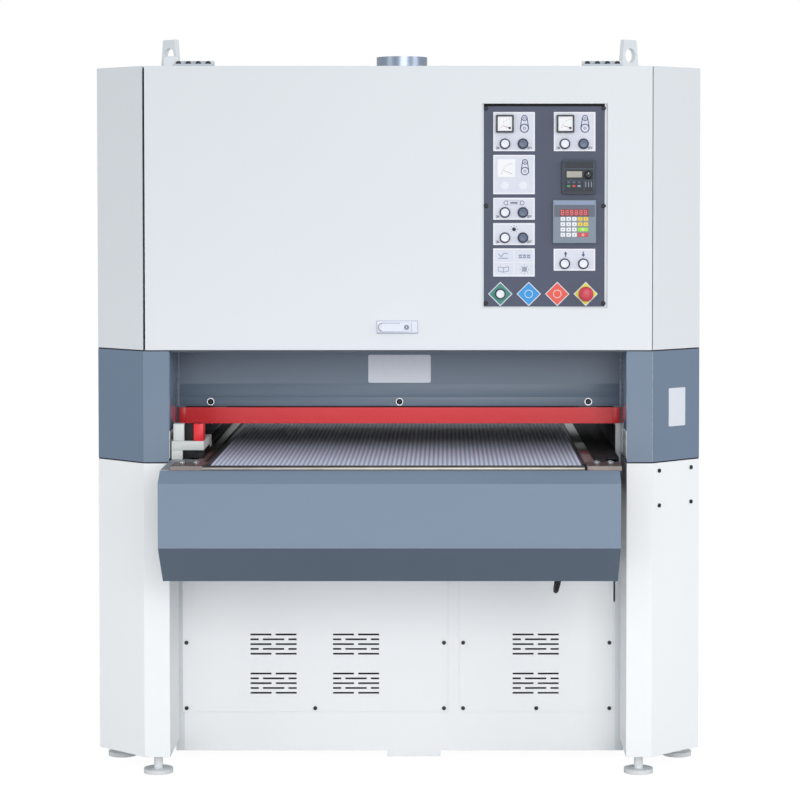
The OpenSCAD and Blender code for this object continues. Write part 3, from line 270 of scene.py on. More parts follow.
def dull_rubber(name, code, roughness=0.7, dust_code="#8A867E", dust_and_shade=0.25):
    """Rubber with patches of dust on it."""
    mat, shader, where = new_material(name)
    pores = add(mat, "TexNoise", (-1000, -300), None,
                {"Vector": where, "Scale": repeats(PORE_SIZE), "Detail": 3.0}).outputs["Fac"]
    powder = add(mat, "TexNoise", (-1000, 300), None,
                 {"Vector": where, "Scale": repeats(POWDER_SIZE), "Detail": 5.0}).outputs["Fac"]
    amount = add(mat, "MapRange", (-750, 300), None,
                 {"Value": powder, "From Min": 0.42, "From Max": 0.75, "To Min": 0.0,
                  "To Max": dust_and_shade}).outputs["Result"]
    base = add(mat, "Mix", (-500, 250), COLOUR_MIX,
               {"Factor": amount, LOW_COLOUR: linear(code), HIGH_COLOUR: linear(dust_code)})
    relief = add(mat, "Bump", (-300, -300), None,
                 {"Height": pores, "Strength": 0.6, "Distance": PORE_DEPTH})
    fill(shader, {"Base Color": base.outputs[MIXED_COLOUR], "Roughness": roughness,
                  "Normal": relief.outputs["Normal"]})
    return mat


def moulded(name, code, roughness):
    """Moulded plastic or a printed film of one colour."""
    mat, shader, where = new_material(name)
    sparks = add(mat, "TexNoise", (-1000, -300), None,
                 {"Vector": where, "Scale": repeats(SPARK_SIZE)}).outputs["Fac"]
    flow = add(mat, "TexNoise", (-1000, 300), None,
               {"Vector": where, "Scale": repeats(FLOW_SIZE), "Detail": 3.0}).outputs["Fac"]
    base = add(mat, "Mix", (-500, 250), COLOUR_MIX,
               {"Factor": flow, LOW_COLOUR: shade(code, 1 - FLOW_DRIFT),
                HIGH_COLOUR: shade(code, 1 + FLOW_DRIFT)})
    relief = add(mat, "Bump", (-300, -300), None,
                 {"Height": sparks, "Strength": 0.3, "Distance": SPARK_HEIGHT})
    fill(shader, {"Base Color": base.outputs[MIXED_COLOUR], "Roughness": roughness,
                  "Normal": relief.outputs["Normal"]})
    return mat


print("rubber pores:", PORE_SIZE, "mm, plastic grain:", SPARK_SIZE, "mm")

# %% [markdown]
# Each slot of the packed model gets its finish from one table. The whites of the frame and the covers
# differ by little, and on the real machine too they come from one powder in different thickness.

# %% The finishes
PAINT = {
    # Powder on the frame, the covers and the guards: a soft sheen that hides small dents.
    "frame_white": powder_coat("frame_powder_coat_white", "#E8EDEF", 0.45, cloud=0.02, dust_and_shade=0.25),
    "cover_white": powder_coat("cover_powder_coat_white", "#E9EDF0", 0.4, cloud=0.015, dust_and_shade=0.12),
    "cover_grey": powder_coat("cover_powder_coat_blue_grey", "#74869B", 0.36, cloud=0.04, dust_and_shade=0.2),
    "infeed_grey": powder_coat("infeed_powder_coat_slate", "#697889", 0.38, cloud=0.05, dust_and_shade=0.25),
    "control_grey": powder_coat("control_plate_slate", "#4D5469", 0.5, cloud=0.05),
    "hinge_dark": powder_coat("hinge_powder_coat_pale", "#C4CCD3", 0.5, cloud=0.06),
    "foot_steel": powder_coat("foot_powder_coat_pale", "#E4E8EA", 0.5, cloud=0.03),
    "rail_steel": powder_coat("rail_paint_graphite", "#4A4F57", 0.5, cloud=0.15, dust_and_shade=0.3),
    # Enamel, sprayed and glossier: its highlights have a clear edge.
    "bar_red": powder_coat("safety_red_enamel", "#EC1F2B", 0.35, cloud=0.06, dust_and_shade=0.2),
    "beam_paint": powder_coat("machine_enamel_slate", "#5F7485", 0.4, cloud=0.08),
    "motor_paint": powder_coat("motor_enamel_blue", "#3C5A78", 0.45, cloud=0.1),
    # Bare metals: ground faces mirror in long streaks, cast and oiled ones stay dark.
    "zinc_steel": bare_steel("galvanised_sheet", "#A3AFBF", 0.34, along=2),
    "latch_zinc": bare_steel("plated_zinc", "#B4B7BB", 0.22, along=0, grain=0.2),
    "plate_steel": bare_steel("ground_plate_steel", "#B8BCC2", 0.3, along=0),
    "roller_steel": bare_steel("ground_steel", "#B0B4B8", 0.25, along=0),
    "pulley_iron": bare_steel("turned_cast_iron", "#6E7276", 0.45, along=0),
    "chain_steel": bare_steel("oiled_chain_steel", "#3A3C3E", 0.35, along=1),
    # Rubber and abrasive cloth: no highlight, only dust.
    "abrasive": dull_rubber("abrasive_cloth", "#7A4A32", 0.9, "#A08A72", 0.5),
    "drive_rubber": dull_rubber("v_belt_rubber", "#1D1E20", 0.75),
    "roller_rubber": dull_rubber("roller_rubber_black", "#26282A", 0.6, dust_and_shade=0.3),
    "rubber_belt": dull_rubber("feed_belt_rubber", "#A9ADC3", 0.65, "#B9BAC6", 0.4),
    # Moulded plastic and film: small clear highlights on an even colour.
    "black_screw": moulded("black_oxide_screw", "#1C1E21", 0.4),
    "conduit_black": moulded("conduit_plastic_black", "#17181A", 0.5),
    "legend_white": moulded("legend_film_white", "#E3E6F1", 0.45),
    "bezel_blue": moulded("bezel_plastic_navy", "#2A3350", 0.35),
    "meter_white": moulded("meter_housing_dark", "#2B3038", 0.4),
    "keypad_dark": moulded("keypad_plastic_slate", "#36404D", 0.45),
    "display_grey": moulded("display_film_grey", "#84919F", 0.45),
    "button_white": moulded("button_cap_white", "#F2F4FA", 0.3),
    "button_dark": moulded("button_cap_slate", "#5C6B84", 0.3),
    "stop_red": moulded("stop_cap_red", "#D44558", 0.3),
    "knob_black": moulded("knob_plastic_black", "#202226", 0.4),
}
# The lower covers, the access panels and the base frame get a brighter copy of the white, which paints
# in the light that a white floor would throw up under the table. The near-black paints the shade
# inside the machine and under the door's edge, and it also serves the dark seals and the screw heads.
LOW_WHITE_PAINTED_LIGHT = powder_coat("lower_white_with_painted_light", "#FBFDFE", 0.42, cloud=0.012, dust_and_shade=0.1)
SCREEN_BLACK = dull_rubber("inner_screen_black", "#07080A", 0.8, dust_and_shade=0.03)
print("finishes:", len(PAINT))


# %% [markdown]
# An underside gets less light, so the grey covers are painted darker there: painted shade. The shader
# finds an underside by the direction of its face.

# %% Painted shade on the undersides
def shaded_below(mat, amount):
    """Darkens a paint where a face looks down, as painted shade."""
    shader = mat.node_tree.nodes["Principled BSDF"]
    base = shader.inputs["Base Color"].links[0].from_socket
    facing = add(mat, "NewGeometry", (-600, 700)).outputs["True Normal"]
    down = add(mat, "SeparateXYZ", (-450, 700), None, {"Vector": facing}).outputs["Z"]
    # Painted shade: the more a face looks down, the darker it is painted.
    underside_shade = add(mat, "MapRange", (-300, 700), None,
               {"Value": down, "From Min": -0.6, "From Max": -0.2, "To Min": amount, "To Max": 0.0})
    shaded_colour = add(mat, "Mix", (-100, 500), COLOUR_MIX,
               {"Factor": underside_shade.outputs["Result"], LOW_COLOUR: base, HIGH_COLOUR: linear("#3C444E")})
    fill(shader, {"Base Color": shaded_colour.outputs[MIXED_COLOUR]})


shaded_below(PAINT["cover_grey"], 0.45)
for name, obj in NODES.items():
    obj.data.materials.clear()
    obj.data.materials.append(PAINT[SLOT_OF[name]])
print("nodes with a finish:", len(NODES))

# %% [markdown]
# Sheet metal never has a knife edge. A folded edge has a radius of about the sheet's own thickness,
# and a cut edge is broken by the powder that pulls back from it. That thin line of light along each
# edge is what makes a cover look folded and not drawn. The edges could be bevelled one by one, but a
# bevel modifier finds them all by their angle. It needs whole flats, so it works on a copy of the
# packed solid with its loose triangles merged, and the copy then stands for the solid.

# %% Rounded copies of the sheet metal
BODY_OF = {}
for body, members in frame["record"]["behaviour"]["bodies"].items():
    for member in members:
        BODY_OF[member] = body


def in_scene(name, data):
    """A new object with this mesh, lamp or camera, in the scene."""
    obj = bpy.data.objects.new(name, data)
    bpy.context.scene.collection.objects.link(obj)
    return obj


def round_edges(obj, radius, angle):
    """Rounds all edges that are sharper than an angle in degrees."""
    edges = obj.modifiers.new("rounded edges", "BEVEL")
    edges.width = radius * MM
    edges.segments = 2
    edges.limit_method = "ANGLE"
    edges.angle_limit = math.radians(angle)
    edges.harden_normals = True


def own(obj, body, slot_name, mat=None):
    """Gives a piece its body and its finish, which is its slot's paint unless one is given."""
    obj.data.materials.clear()
    obj.data.materials.append(mat or PAINT[slot_name])
    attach(obj, body)
    return obj


def rounded_copy(node_name, radius, mat=None):
    """A copy of a CAD node with its doubles merged, its flats made whole and its edges rounded."""
    form = bmesh.new()
    form.from_mesh(NODES[node_name].data)
    bmesh.ops.remove_doubles(form, verts=form.verts, dist=0.01 * MM)
    bmesh.ops.dissolve_limit(form, angle_limit=math.radians(0.5), verts=form.verts, edges=form.edges)
    bmesh.ops.recalc_face_normals(form, faces=form.faces)
    mesh = bpy.data.meshes.new(node_name + "_dressed")
    form.to_mesh(mesh)
    form.free()
    stored = mesh.attributes.get("custom_normal")
    if stored:
        mesh.attributes.remove(stored)
    obj = in_scene(node_name + "_dressed", mesh)
    round_edges(obj, radius, 25)
    mesh.shade_smooth()
    own(obj, BODY_OF[node_name], SLOT_OF[node_name], mat)
    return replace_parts(obj, node_name)


EDGE_RADIUS = {
    "base_frame": 1.5,
    "side_frames": 1.5,
    "lower_covers": 1.0,
    "band_covers": 1.0,
    "upper_covers": 1.0,
    "roof_panel": 1.0,
    "rear_panels": 1.0,
    "door_panel": 1.0,
    "infeed_panel": 1.0,
    "table_end_covers": 1.2,
    "table_frame": 0.8,
    "table_edge_plates": 1.2,
    "access_panels": 0.8,
    "control_plate": 0.8,
    "lifting_lugs": 2.0,
    "door_hinges": 0.8,
    "latch_plate": 0.6,
    "latch_handle": 1.2,
    "safety_bar": 0.8,
}
PLATE_BROWN = bare_steel("oiled_plate_steel", "#7C7470", 0.42, along=1, stain=0.3)
LATCH_WHITE = moulded("latch_enamel_white", "#EEF0FA", 0.3)
OWN_FINISH = {
    "latch_plate": LATCH_WHITE,
    "latch_handle": LATCH_WHITE,
    "lower_covers": LOW_WHITE_PAINTED_LIGHT,
    "access_panels": LOW_WHITE_PAINTED_LIGHT,
    "base_frame": LOW_WHITE_PAINTED_LIGHT,
    "table_edge_plates": PLATE_BROWN,
}
for name, radius in EDGE_RADIUS.items():
    dressed = rounded_copy(name, radius, OWN_FINISH.get(name))
    print("rounded:", name, len(dressed.data.polygons), "faces, edge", radius, "mm")

# %% [markdown]
# The small pieces are drawn in code: a flat outline pushed back to a thickness, or a profile turned
# about an axis. By hand each would be an inset and an extrude, but the printing alone has more than a
# hundred shapes, and in code a loop draws them. Front is the side with the lower Y. First come the
# outlines, each a list of points.


# %% Outlines
def rounded_rect(x0, x1, z0, z1, radius=0.0, steps=4):
    """The outline of a rectangle with round corners, in X and Z."""
    if radius <= 0:
        return [(x0, z0), (x1, z0), (x1, z1), (x0, z1)]
    centres = [(x1 - radius, z0 + radius, -90), (x1 - radius, z1 - radius, 0),
               (x0 + radius, z1 - radius, 90), (x0 + radius, z0 + radius, 180)]
    points = []
    for cx, cz, start in centres:
        for k in range(steps + 1):
            a = math.radians(start + 90 * k / steps)
            points.append((cx + radius * math.cos(a), cz + radius * math.sin(a)))
    return points


def disc(x, z, radius, steps=32):
    """The outline of a circle, in X and Z."""
    turns = [2 * math.pi * k / steps for k in range(steps)]
    return [(x + radius * math.cos(a), z + radius * math.sin(a)) for a in turns]


def stroke(x0, z0, x1, z1, width):
    """The outline of a straight line with a width, in X and Z."""
    length = math.hypot(x1 - x0, z1 - z0)
    nx = -(z1 - z0) / length * width / 2
    nz = (x1 - x0) / length * width / 2
    return [(x0 - nx, z0 - nz), (x1 - nx, z1 - nz), (x1 + nx, z1 + nz), (x0 + nx, z0 + nz)]


print("points of a rounded outline:", len(rounded_rect(0, 10, 0, 10, 2)))
print("points of a circle:", len(disc(0, 0, 1)))

# %% [markdown]
# The points of such pieces are gathered in one growing form, so that a whole set, such as all the
# printing of one ink, is one mesh. At the end its doubles are merged and its faces turned outwards.


# %% A form that grows piece by piece
class Form:
    """A mesh in millimetres that grows piece by piece."""

    def __init__(self):
        self.points = []
        self.faces = []

    def loft(self, loops, cap_start=True, cap_end=True):
        """Joins closed loops of points that have the same count."""
        first = len(self.points)
        count = len(loops[0])
        for loop in loops:
            self.points.extend(loop)
        for k in range(len(loops) - 1):
            for i in range(count):
                a = first + k * count + i
                b = first + k * count + (i + 1) % count
                self.faces.append((a, b, b + count, a + count))
        if cap_start:
            self.faces.append(tuple(first + i for i in reversed(range(count))))
        if cap_end:
            last = first + (len(loops) - 1) * count
            self.faces.append(tuple(last + i for i in range(count)))
        return self

    def prism(self, outline, y0, y1):
        """An outline in X and Z, from y0 at the front to y1 at the back."""
        return self.loft([[(x, y0, z) for x, z in outline], [(x, y1, z) for x, z in outline]])

    def raised(self, x0, x1, z0, z1, radius, y_front, y_back, edge):
        """A rounded rectangle with a chamfered front edge."""
        full = rounded_rect(x0, x1, z0, z1, radius)
        small = rounded_rect(x0 + edge, x1 - edge, z0 + edge, z1 - edge, max(radius - edge, 0.05))
        return self.loft([
            [(x, y_front, z) for x, z in small],
            [(x, y_front + edge, z) for x, z in full],
            [(x, y_back, z) for x, z in full],
        ])

    def framed(self, x0, x1, z0, z1, radius, y_front, y_back, rim, drop, edge):
        """A raised frame whose middle is sunk by drop behind a rim."""
        def loop(inset, y):
            corner = max(radius - inset, 0.05)
            return [(x, y, z) for x, z in
                    rounded_rect(x0 + inset, x1 - inset, z0 + inset, z1 - inset, corner)]
        return self.loft([loop(rim + edge, y_front + drop), loop(rim, y_front),
                          loop(edge, y_front), loop(0, y_front + edge), loop(0, y_back)])

    def ring(self, x, z, inner, outer, y0, y1, steps=32):
        """A flat ring that faces the front."""
        loops = [(inner, y1), (inner, y0), (outer, y0), (outer, y1)]
        rims = [[(px, y, pz) for px, pz in disc(x, z, r, steps)] for r, y in loops]
        return self.loft(rims, False, False)

    def turned(self, x, z, profile, steps=32):
        """A profile of (radius, y) turned about a Y axis, capped at both ends."""
        return self.loft([[(px, y, pz) for px, pz in disc(x, z, r, steps)] for r, y in profile])

    def upright(self, x, y, profile, steps=32):
        """A profile of (radius, z) turned about a Z axis, capped at both ends."""
        return self.loft([[(px, py, z) for px, py in disc(x, y, r, steps)] for r, z in profile])

    def box(self, x0, x1, y0, y1, z0, z1):
        """A plain block."""
        return self.prism(rounded_rect(x0, x1, z0, z1), y0, y1)

    def done(self, name, body, slot_name, mat=None, bevel=0.0, smooth=30.0):
        """Turns the form into an object that rides on a body."""
        mesh = bpy.data.meshes.new(name)
        mesh.from_pydata([tuple(c * MM for c in p) for p in self.points], [], self.faces)
        merged = bmesh.new()
        merged.from_mesh(mesh)
        bmesh.ops.remove_doubles(merged, verts=merged.verts, dist=0.001 * MM)
        bmesh.ops.recalc_face_normals(merged, faces=merged.faces)
        merged.to_mesh(mesh)
        merged.free()
        obj = in_scene(name, mesh)
        mesh.shade_smooth()
        mesh.set_sharp_from_angle(angle=math.radians(smooth))
        if bevel:
            round_edges(obj, bevel, 35)
        return own(obj, body, slot_name, mat)


print("a form can:", [n for n in vars(Form) if not n.startswith("_")])

# %% [markdown]
# Plain bars are quicker by hand: a cube is scaled to the bar's size, its edges are bevelled in edit
# mode, and all bars of a piece are joined. The selection is cleared first, because an operator acts
# on everything that is selected.


# %% Bars
class Bars:
    """Bars and blocks cut to size: cube primitives, bevelled in edit mode and joined."""

    def __init__(self):
        self.parts = []

    def box(self, x0, x1, y0, y1, z0, z1, edge=0.0):
        """Adds one block with rounded edges."""
        bpy.ops.object.select_all(action="DESELECT")
        middle = Vector((x0 + x1, y0 + y1, z0 + z1)) / 2 * MM
        bpy.ops.mesh.primitive_cube_add(size=1.0, location=middle)
        bar = bpy.context.object
        bar.scale = Vector((x1 - x0, y1 - y0, z1 - z0)) * MM
        bpy.ops.object.transform_apply(location=True, rotation=True, scale=True)
        if edge:
            bpy.ops.object.mode_set(mode="EDIT")
            bpy.ops.mesh.select_all(action="SELECT")
            bpy.ops.mesh.bevel(offset=edge * MM, segments=2, affect="EDGES")
            bpy.ops.object.mode_set(mode="OBJECT")
        self.parts.append(bar)
        return self

    def done(self, name, body, slot_name, mat=None):
        """Joins the blocks into one piece that rides on a body."""
        bpy.ops.object.select_all(action="DESELECT")
        for bar in self.parts:
            bar.select_set(True)
        bpy.context.view_layer.objects.active = self.parts[0]
        if len(self.parts) > 1:
            bpy.ops.object.join()
        obj = self.parts[0]
        obj.name = name
        obj.data.name = name
        bpy.ops.object.shade_smooth_by_angle(angle=math.radians(30))
        obj.select_set(False)
        return own(obj, body, slot_name, mat)


print("a set of bars can:", [n for n in vars(Bars) if not n.startswith("_")])

# %% [markdown]
# The only words are ON and OFF. A text object turned into a mesh has far more points than show at
# this size, so the three letters are strokes on a grid that is two units wide and four high.

# %% Block letters
LETTER_H = 4
LETTER_STEP = 3
PEN = 0.7
LETTERS = {
    "O": [(0, 0, 0, 4), (0, 4, 2, 4), (2, 4, 2, 0), (2, 0, 0, 0)],
    "N": [(0, 0, 0, 4), (0, 4, 2, 0), (2, 0, 2, 4)],
    "F": [(0, 0, 0, 4), (0, 4, 2, 4), (0, 2, 1.6, 2)],
}


def word(form, text, x, z, height, y0, y1):
    """Adds flat block letters, centred on a place, to a form."""
    unit = height / LETTER_H
    width = len(text) * LETTER_STEP - 1
    low = z - height / 2
    for i, letter in enumerate(text):
        left = x + (i * LETTER_STEP - width / 2) * unit
        for ax, az, bx, bz in LETTERS[letter]:
            form.prism(stroke(left + ax * unit, low + az * unit, left + bx * unit, low + bz * unit,
                              unit * PEN), y0, y1)


print("letters:", {letter: len(strokes) for letter, strokes in LETTERS.items()})

# %% [markdown]
# The feed belt carries the board under the sanding heads. Its outer side has ribs along the feed
# direction, so dust falls between them and the board lies on rubber that can give. The rubber is
# moulded on a fabric, and the moulding leaves fine cross lines on every rib. A bump map could give
# the ribs on the flat, but not at the roller, where they show from the end. So they are real: the
# belt is its cross-section carried once round both rollers, with the ribs inside the thickness of
# the packed belt. Their pitch of a little over 12 mm was matched to the photograph.

# %% Feed belt: its size and its rubber
BELT_LOW, BELT_HIGH = mm_box("feed_belt")
ROLL_LOW, ROLL_HIGH = mm_box("idler_roller")
RIBS = 80
RIB_RISE = 1.3
RIB_PITCH = (BELT_HIGH.x - BELT_LOW.x) / RIBS
BELT_BACK = 0.2
CROSS_PITCH = 9.0
CROSS_DEPTH = 0.4 * MM
TURN_STEPS = 24


def ribbed_rubber(name, crest, groove, pitch, start):
    """Ribbed rubber. Its crests are painted paler and its grooves darker: painted light and shade."""
    mat, shader, where = new_material(name)
    axes = add(mat, "SeparateXYZ", (-1200, 200), None, {"Vector": where}).outputs
    waves = []
    for axis, length, offset in (("X", pitch, start), ("Y", CROSS_PITCH, 0.0)):
        turned = add(mat, "Math", (-1000, 200), {"operation": "MULTIPLY_ADD"},
                     {0: axes[axis], 1: 2 * math.pi / (length * MM), 2: offset})
        waves.append(add(mat, "Math", (-850, 200), {"operation": "SINE"},
                         {0: turned.outputs["Value"]}).outputs["Value"])
    # Painted shade and light: the grooves between the ribs and the troughs of the cross lines are
    # darker.
    across = add(mat, "MapRange", (-700, 200), None,
                 {"Value": waves[0], "From Min": -0.9, "From Max": 0.5, "To Min": 0.0, "To Max": 1.0})
    along = add(mat, "MapRange", (-700, 0), None,
                {"Value": waves[1], "From Min": -1.0, "From Max": 0.2, "To Min": 0.72, "To Max": 1.0})
    both = add(mat, "Math", (-600, 100), {"operation": "MULTIPLY"},
               {0: across.outputs["Result"], 1: along.outputs["Result"]})
    base = add(mat, "Mix", (-500, 250), COLOUR_MIX,
               {"Factor": both.outputs["Value"], LOW_COLOUR: linear(groove),
                HIGH_COLOUR: linear(crest)})
    relief = add(mat, "Bump", (-300, -300), None,
                 {"Height": waves[1], "Strength": 0.6, "Distance": CROSS_DEPTH})
    fill(shader, {"Base Color": base.outputs[MIXED_COLOUR], "Roughness": 0.62,
                  "Normal": relief.outputs["Normal"]})
    return mat


BELT_RUBBER = ribbed_rubber("feed_belt_ribbed_rubber", "#EAF1FF", "#AEB7D2", RIB_PITCH,
                            math.radians(-65))
print("rib pitch:", round(RIB_PITCH, 2), "mm")


# %% Feed belt: its shape
def belt_loop(y, z, out_y, out_z):
    """The belt's cross-section at one place, with its outside in the direction given."""
    thick = ROLL_LOW.y - BELT_LOW.y - BELT_BACK
    loop = []
    for k in range(RIBS):
        for share, rise in ((0.02, 0.0), (0.24, RIB_RISE), (0.62, RIB_RISE), (0.84, 0.0)):
            up = thick + BELT_BACK - RIB_RISE + rise
            loop.append((BELT_LOW.x + (k + share) * RIB_PITCH, y + out_y * up, z + out_z * up))
    for x in (BELT_HIGH.x, BELT_LOW.x):
        loop.append((x, y + out_y * BELT_BACK, z + out_z * BELT_BACK))
    return loop


roll_r = (ROLL_HIGH.z - ROLL_LOW.z) / 2
belt_z = (BELT_LOW.z + BELT_HIGH.z) / 2
turn_y = BELT_HIGH.y - (BELT_HIGH.z - BELT_LOW.z) / 2
belt_loops = []
for side in (-1, 1):
    for k in range(TURN_STEPS + 1):
        a = math.radians(-90 + 180 * k / TURN_STEPS)
        out_y, out_z = side * math.cos(a), side * math.sin(a)
        belt_loops.append(belt_loop(side * turn_y + out_y * roll_r, belt_z + out_z * roll_r,
                                    out_y, out_z))
belt = Form()
belt.loft(belt_loops + belt_loops[:1], False, False)
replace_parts(belt.done("feed_belt_ribbed", "table", "rubber_belt", BELT_RUBBER), "feed_belt")
print("belt ribs:", RIBS, "loops:", len(belt_loops))

# %% [markdown]
# At both ends of the infeed opening the real machine shows its inside. A cast guide bracket stands on
# the left end of the table, with a red stop block on it. Such parts are bars sawn from stock and
# bolted together, and they are made the same way here: cubes scaled to size, bevelled in edit mode
# and joined. A table names each block and gives its spans in X, Y and Z and its edge radius.

# %% Guide bracket and stop block
COLUMN_Y = mm_box("band_covers")[0].y
GUARD_Y = mm_box("safety_bar")[0].y
TABLE_TOP = mm_box("table_end_covers")[1].z
RAIL_TOP = mm_box("table_frame")[1].z
DECK_LOW = 892
DECK_TOP = 917
BLOCK_TOP = 964
BRACKET_X = -616
STANDOFF = 0.1
BRACKET_WHITE = powder_coat("bracket_powder_coat_white", "#DADFDC", 0.45, cloud=0.03, dust_and_shade=0.3)


def barwork(name, body, slot_name, blocks, mat=None):
    """One piece of several blocks, each given by its X, Y and Z spans and its edge radius."""
    bars = Bars()
    for (x0, x1), (y0, y1), (z0, z1), edge in blocks.values():
        bars.box(x0, x1, y0, y1, z0, z1, edge)
    return bars.done(name, body, slot_name, mat)


def mirrored(side, near, far):
    """The X span between two distances from the middle, on the side given by a sign."""
    return tuple(sorted((side * near, side * far)))


barwork("guide_bracket", "table", "rail_steel", {
    "deck": ((BRACKET_X, -528), (COLUMN_Y + 3, COLUMN_Y + 48), (DECK_LOW, DECK_TOP), 1.5),
    "foot": ((BRACKET_X, -586), (COLUMN_Y + 4, COLUMN_Y + 44), (TABLE_TOP + STANDOFF, DECK_LOW), 1.0),
    "arm": ((-545, -528), (COLUMN_Y + 48, GUARD_Y - 12), (DECK_LOW + 1, DECK_TOP - 1), 1.0),
    "post": ((-611, -582), (COLUMN_Y + 6, COLUMN_Y + 40), (DECK_TOP, BLOCK_TOP), 1.5),
}, BRACKET_WHITE)
barwork("stop_block", "table", "rail_steel", {
    "block": ((-556, -529.5), (COLUMN_Y + 6, COLUMN_Y + 60), (DECK_TOP, BLOCK_TOP), 1.0),
}, PAINT["bar_red"])
print("guide bracket from z", round(TABLE_TOP), "to", BLOCK_TOP)

# %% [markdown]
# Beside the belt the table carries flat steel rails, and dark rubber skirts keep the dust off the lift
# screws. All of them ride on the table. The skirts matter for the picture as much as for the machine:
# without them the white room shows through the gaps beside the belt.

# %% Dust skirts
SKIRT = dull_rubber("dust_skirt_rubber", "#15171A", 0.8, dust_and_shade=0.1)
SKIRT_START = -640
SKIRT_END = 845
skirts = {
    "pad between post and block": ((-581.5, -556.5), (COLUMN_Y + 22, COLUMN_Y + 40),
                                   (DECK_TOP, BLOCK_TOP - 1), 0.5),
    "pad under the deck": ((-585.5, -531), (COLUMN_Y + 14, COLUMN_Y + 60),
                           (RAIL_TOP + 1, DECK_LOW - 0.5), 0.5),
    "left belt lip": ((-562, -542), (COLUMN_Y + 61, GUARD_Y + 1000), (RAIL_TOP, RAIL_TOP + 14), 0.5),
}
for side in (-1, 1):
    skirts[f"curtain {side}"] = (mirrored(side, 598.5, 601.5), (SKIRT_START, SKIRT_END),
                                 (760, 872), 0.4)
    skirts[f"shelf {side}"] = (mirrored(side, 563.5, 598), (SKIRT_START, 559),
                               (RAIL_TOP - 3, RAIL_TOP + 0.5), 0.4)
    skirts[f"end wall {side}"] = (mirrored(side, 562, 600), (560, 563), (700, 905), 0.5)
skirts["right belt lip"] = ((528.5, 563), (-800, 840), (RAIL_TOP, RAIL_TOP + 1.5), 0.4)
barwork("dust_skirts", "table", "rail_steel", skirts, SKIRT)
print("skirt strips:", len(skirts))

# %% Flat rails, guide strip and corner plate
BROWNED = bare_steel("browned_flat_steel", "#80766F", 0.42, along=1, stain=0.35)
BRIGHT = bare_steel("bright_flat_steel", "#B9B8B4", 0.4, along=1, stain=0.2)
RAIL_START = -903
RAIL_END = 840
CORNER_Z = (TABLE_TOP + STANDOFF, TABLE_TOP + 2.0)
barwork("left_flat_rail", "table", "rail_steel", {
    "rail": ((-539, -513), (RAIL_START, RAIL_END), (RAIL_TOP, RAIL_TOP + 3), 0.5),
}, BROWNED)
barwork("right_flat_rail", "table", "rail_steel", {
    f"length from {y[0]}": ((500, 527), y, (RAIL_TOP, RAIL_TOP + 4), 0.5)
    for y in ((RAIL_START, -560), (-559, -240), (-239, RAIL_END))
}, BRIGHT)
barwork("left_guide_strip", "table", "rail_steel", {
    "strip": ((-566, -562.5), (-90, 300), (RAIL_TOP - 3, 881), 0.3),
}, BRACKET_WHITE)
barwork("table_corner_plate", "table", "cover_grey", {
    "front arm": ((-615, -591), (-922, -660), CORNER_Z, 0.3),
    "inner arm": ((-591, -541), (-808, -660), CORNER_Z, 0.3),
}, powder_coat("corner_plate_grey", "#8B8F96", 0.4, cloud=0.1))
print("rails on z", round(RAIL_TOP), "corner plate on z", round(TABLE_TOP))

# %% [markdown]
# Each steel plate at the table's corners is held by cap screws. Their places are measured from the
# packed plates: the points above the plate belong to the bolts, and each corner has two. A head is a
# turned profile with a rolled edge and a socket.

# %% Cap screws of the edge plates
PLATE_TOP = 884
HEAD_PROFILE = [(8.9, 880.0), (8.9, 884.4), (8.2, 885.6), (5.2, 886.6), (4.4, 886.6), (4.0, 885.2),
                (0.2, 885.2)]


def middle_between(values):
    """The middle of the span that some values cover."""
    return (min(values) + max(values)) / 2


bolt_points = [v.co / MM for v in NODES["table_edge_plates"].data.vertices if v.co.z / MM > PLATE_TOP]
heads = Form()
bolt_count = 0
for side in (-1, 1):
    for end in (-1, 1):
        ours = [v for v in bolt_points if v.x * side > 0 and v.y * end > 0]
        split = sum(v.x for v in ours) / len(ours)
        for pair in ([v for v in ours if v.x < split], [v for v in ours if v.x >= split]):
            heads.upright(middle_between([v.x for v in pair]), middle_between([v.y for v in pair]),
                          HEAD_PROFILE)
            bolt_count += 1
heads.done("edge_plate_bolt_heads", "table", "plate_steel", PAINT["latch_zinc"])
print("cap screws on the table:", bolt_count)

# %% [markdown]
# The table's front edge is a sandwich that shows as thin lines: a rubber lip, a brown steel strip, the
# bright edge of the bed plate and one more brown strip. Each stands a little further out than the one
# above it, so each casts its own line of shadow.

# %% Front edge strips
EDGE_X = (-506, 493)
EDGE_BACK = -915.6
EDGE_STRIPS = {
    "edge_strip_rubber": (SKIRT, ((876.5, 879.5, -920.5),)),
    "edge_strip_copper": (BROWNED, ((873.6, 876.4, -921.5), (867.2, 869.5, -921.8))),
    "edge_strip_bright": (BRIGHT, ((869.6, 873.5, -922.4),)),
}
for name, (metal, strips) in EDGE_STRIPS.items():
    barwork(name, "table", "plate_steel", {
        f"strip on {low_z}": (EDGE_X, (y, EDGE_BACK), (low_z, high_z), 0.4)
        for low_z, high_z, y in strips
    }, metal)
barwork("rail_tag", "table", "rail_steel", {
    "tag": ((-541.9, -540.5), (-330, -285), (RAIL_TOP + 1, RAIL_TOP + 13), 0.3),
}, moulded("rail_tag_white", "#F2F4FA", 0.5))
print("edge strips:", list(EDGE_STRIPS))

# %% [markdown]
# The column walls beside the opening are enamelled, and the enamel is glossy enough to mirror the red
# bar's ends. A flat colour can't do that, so the walls get a thin lining with a low roughness.

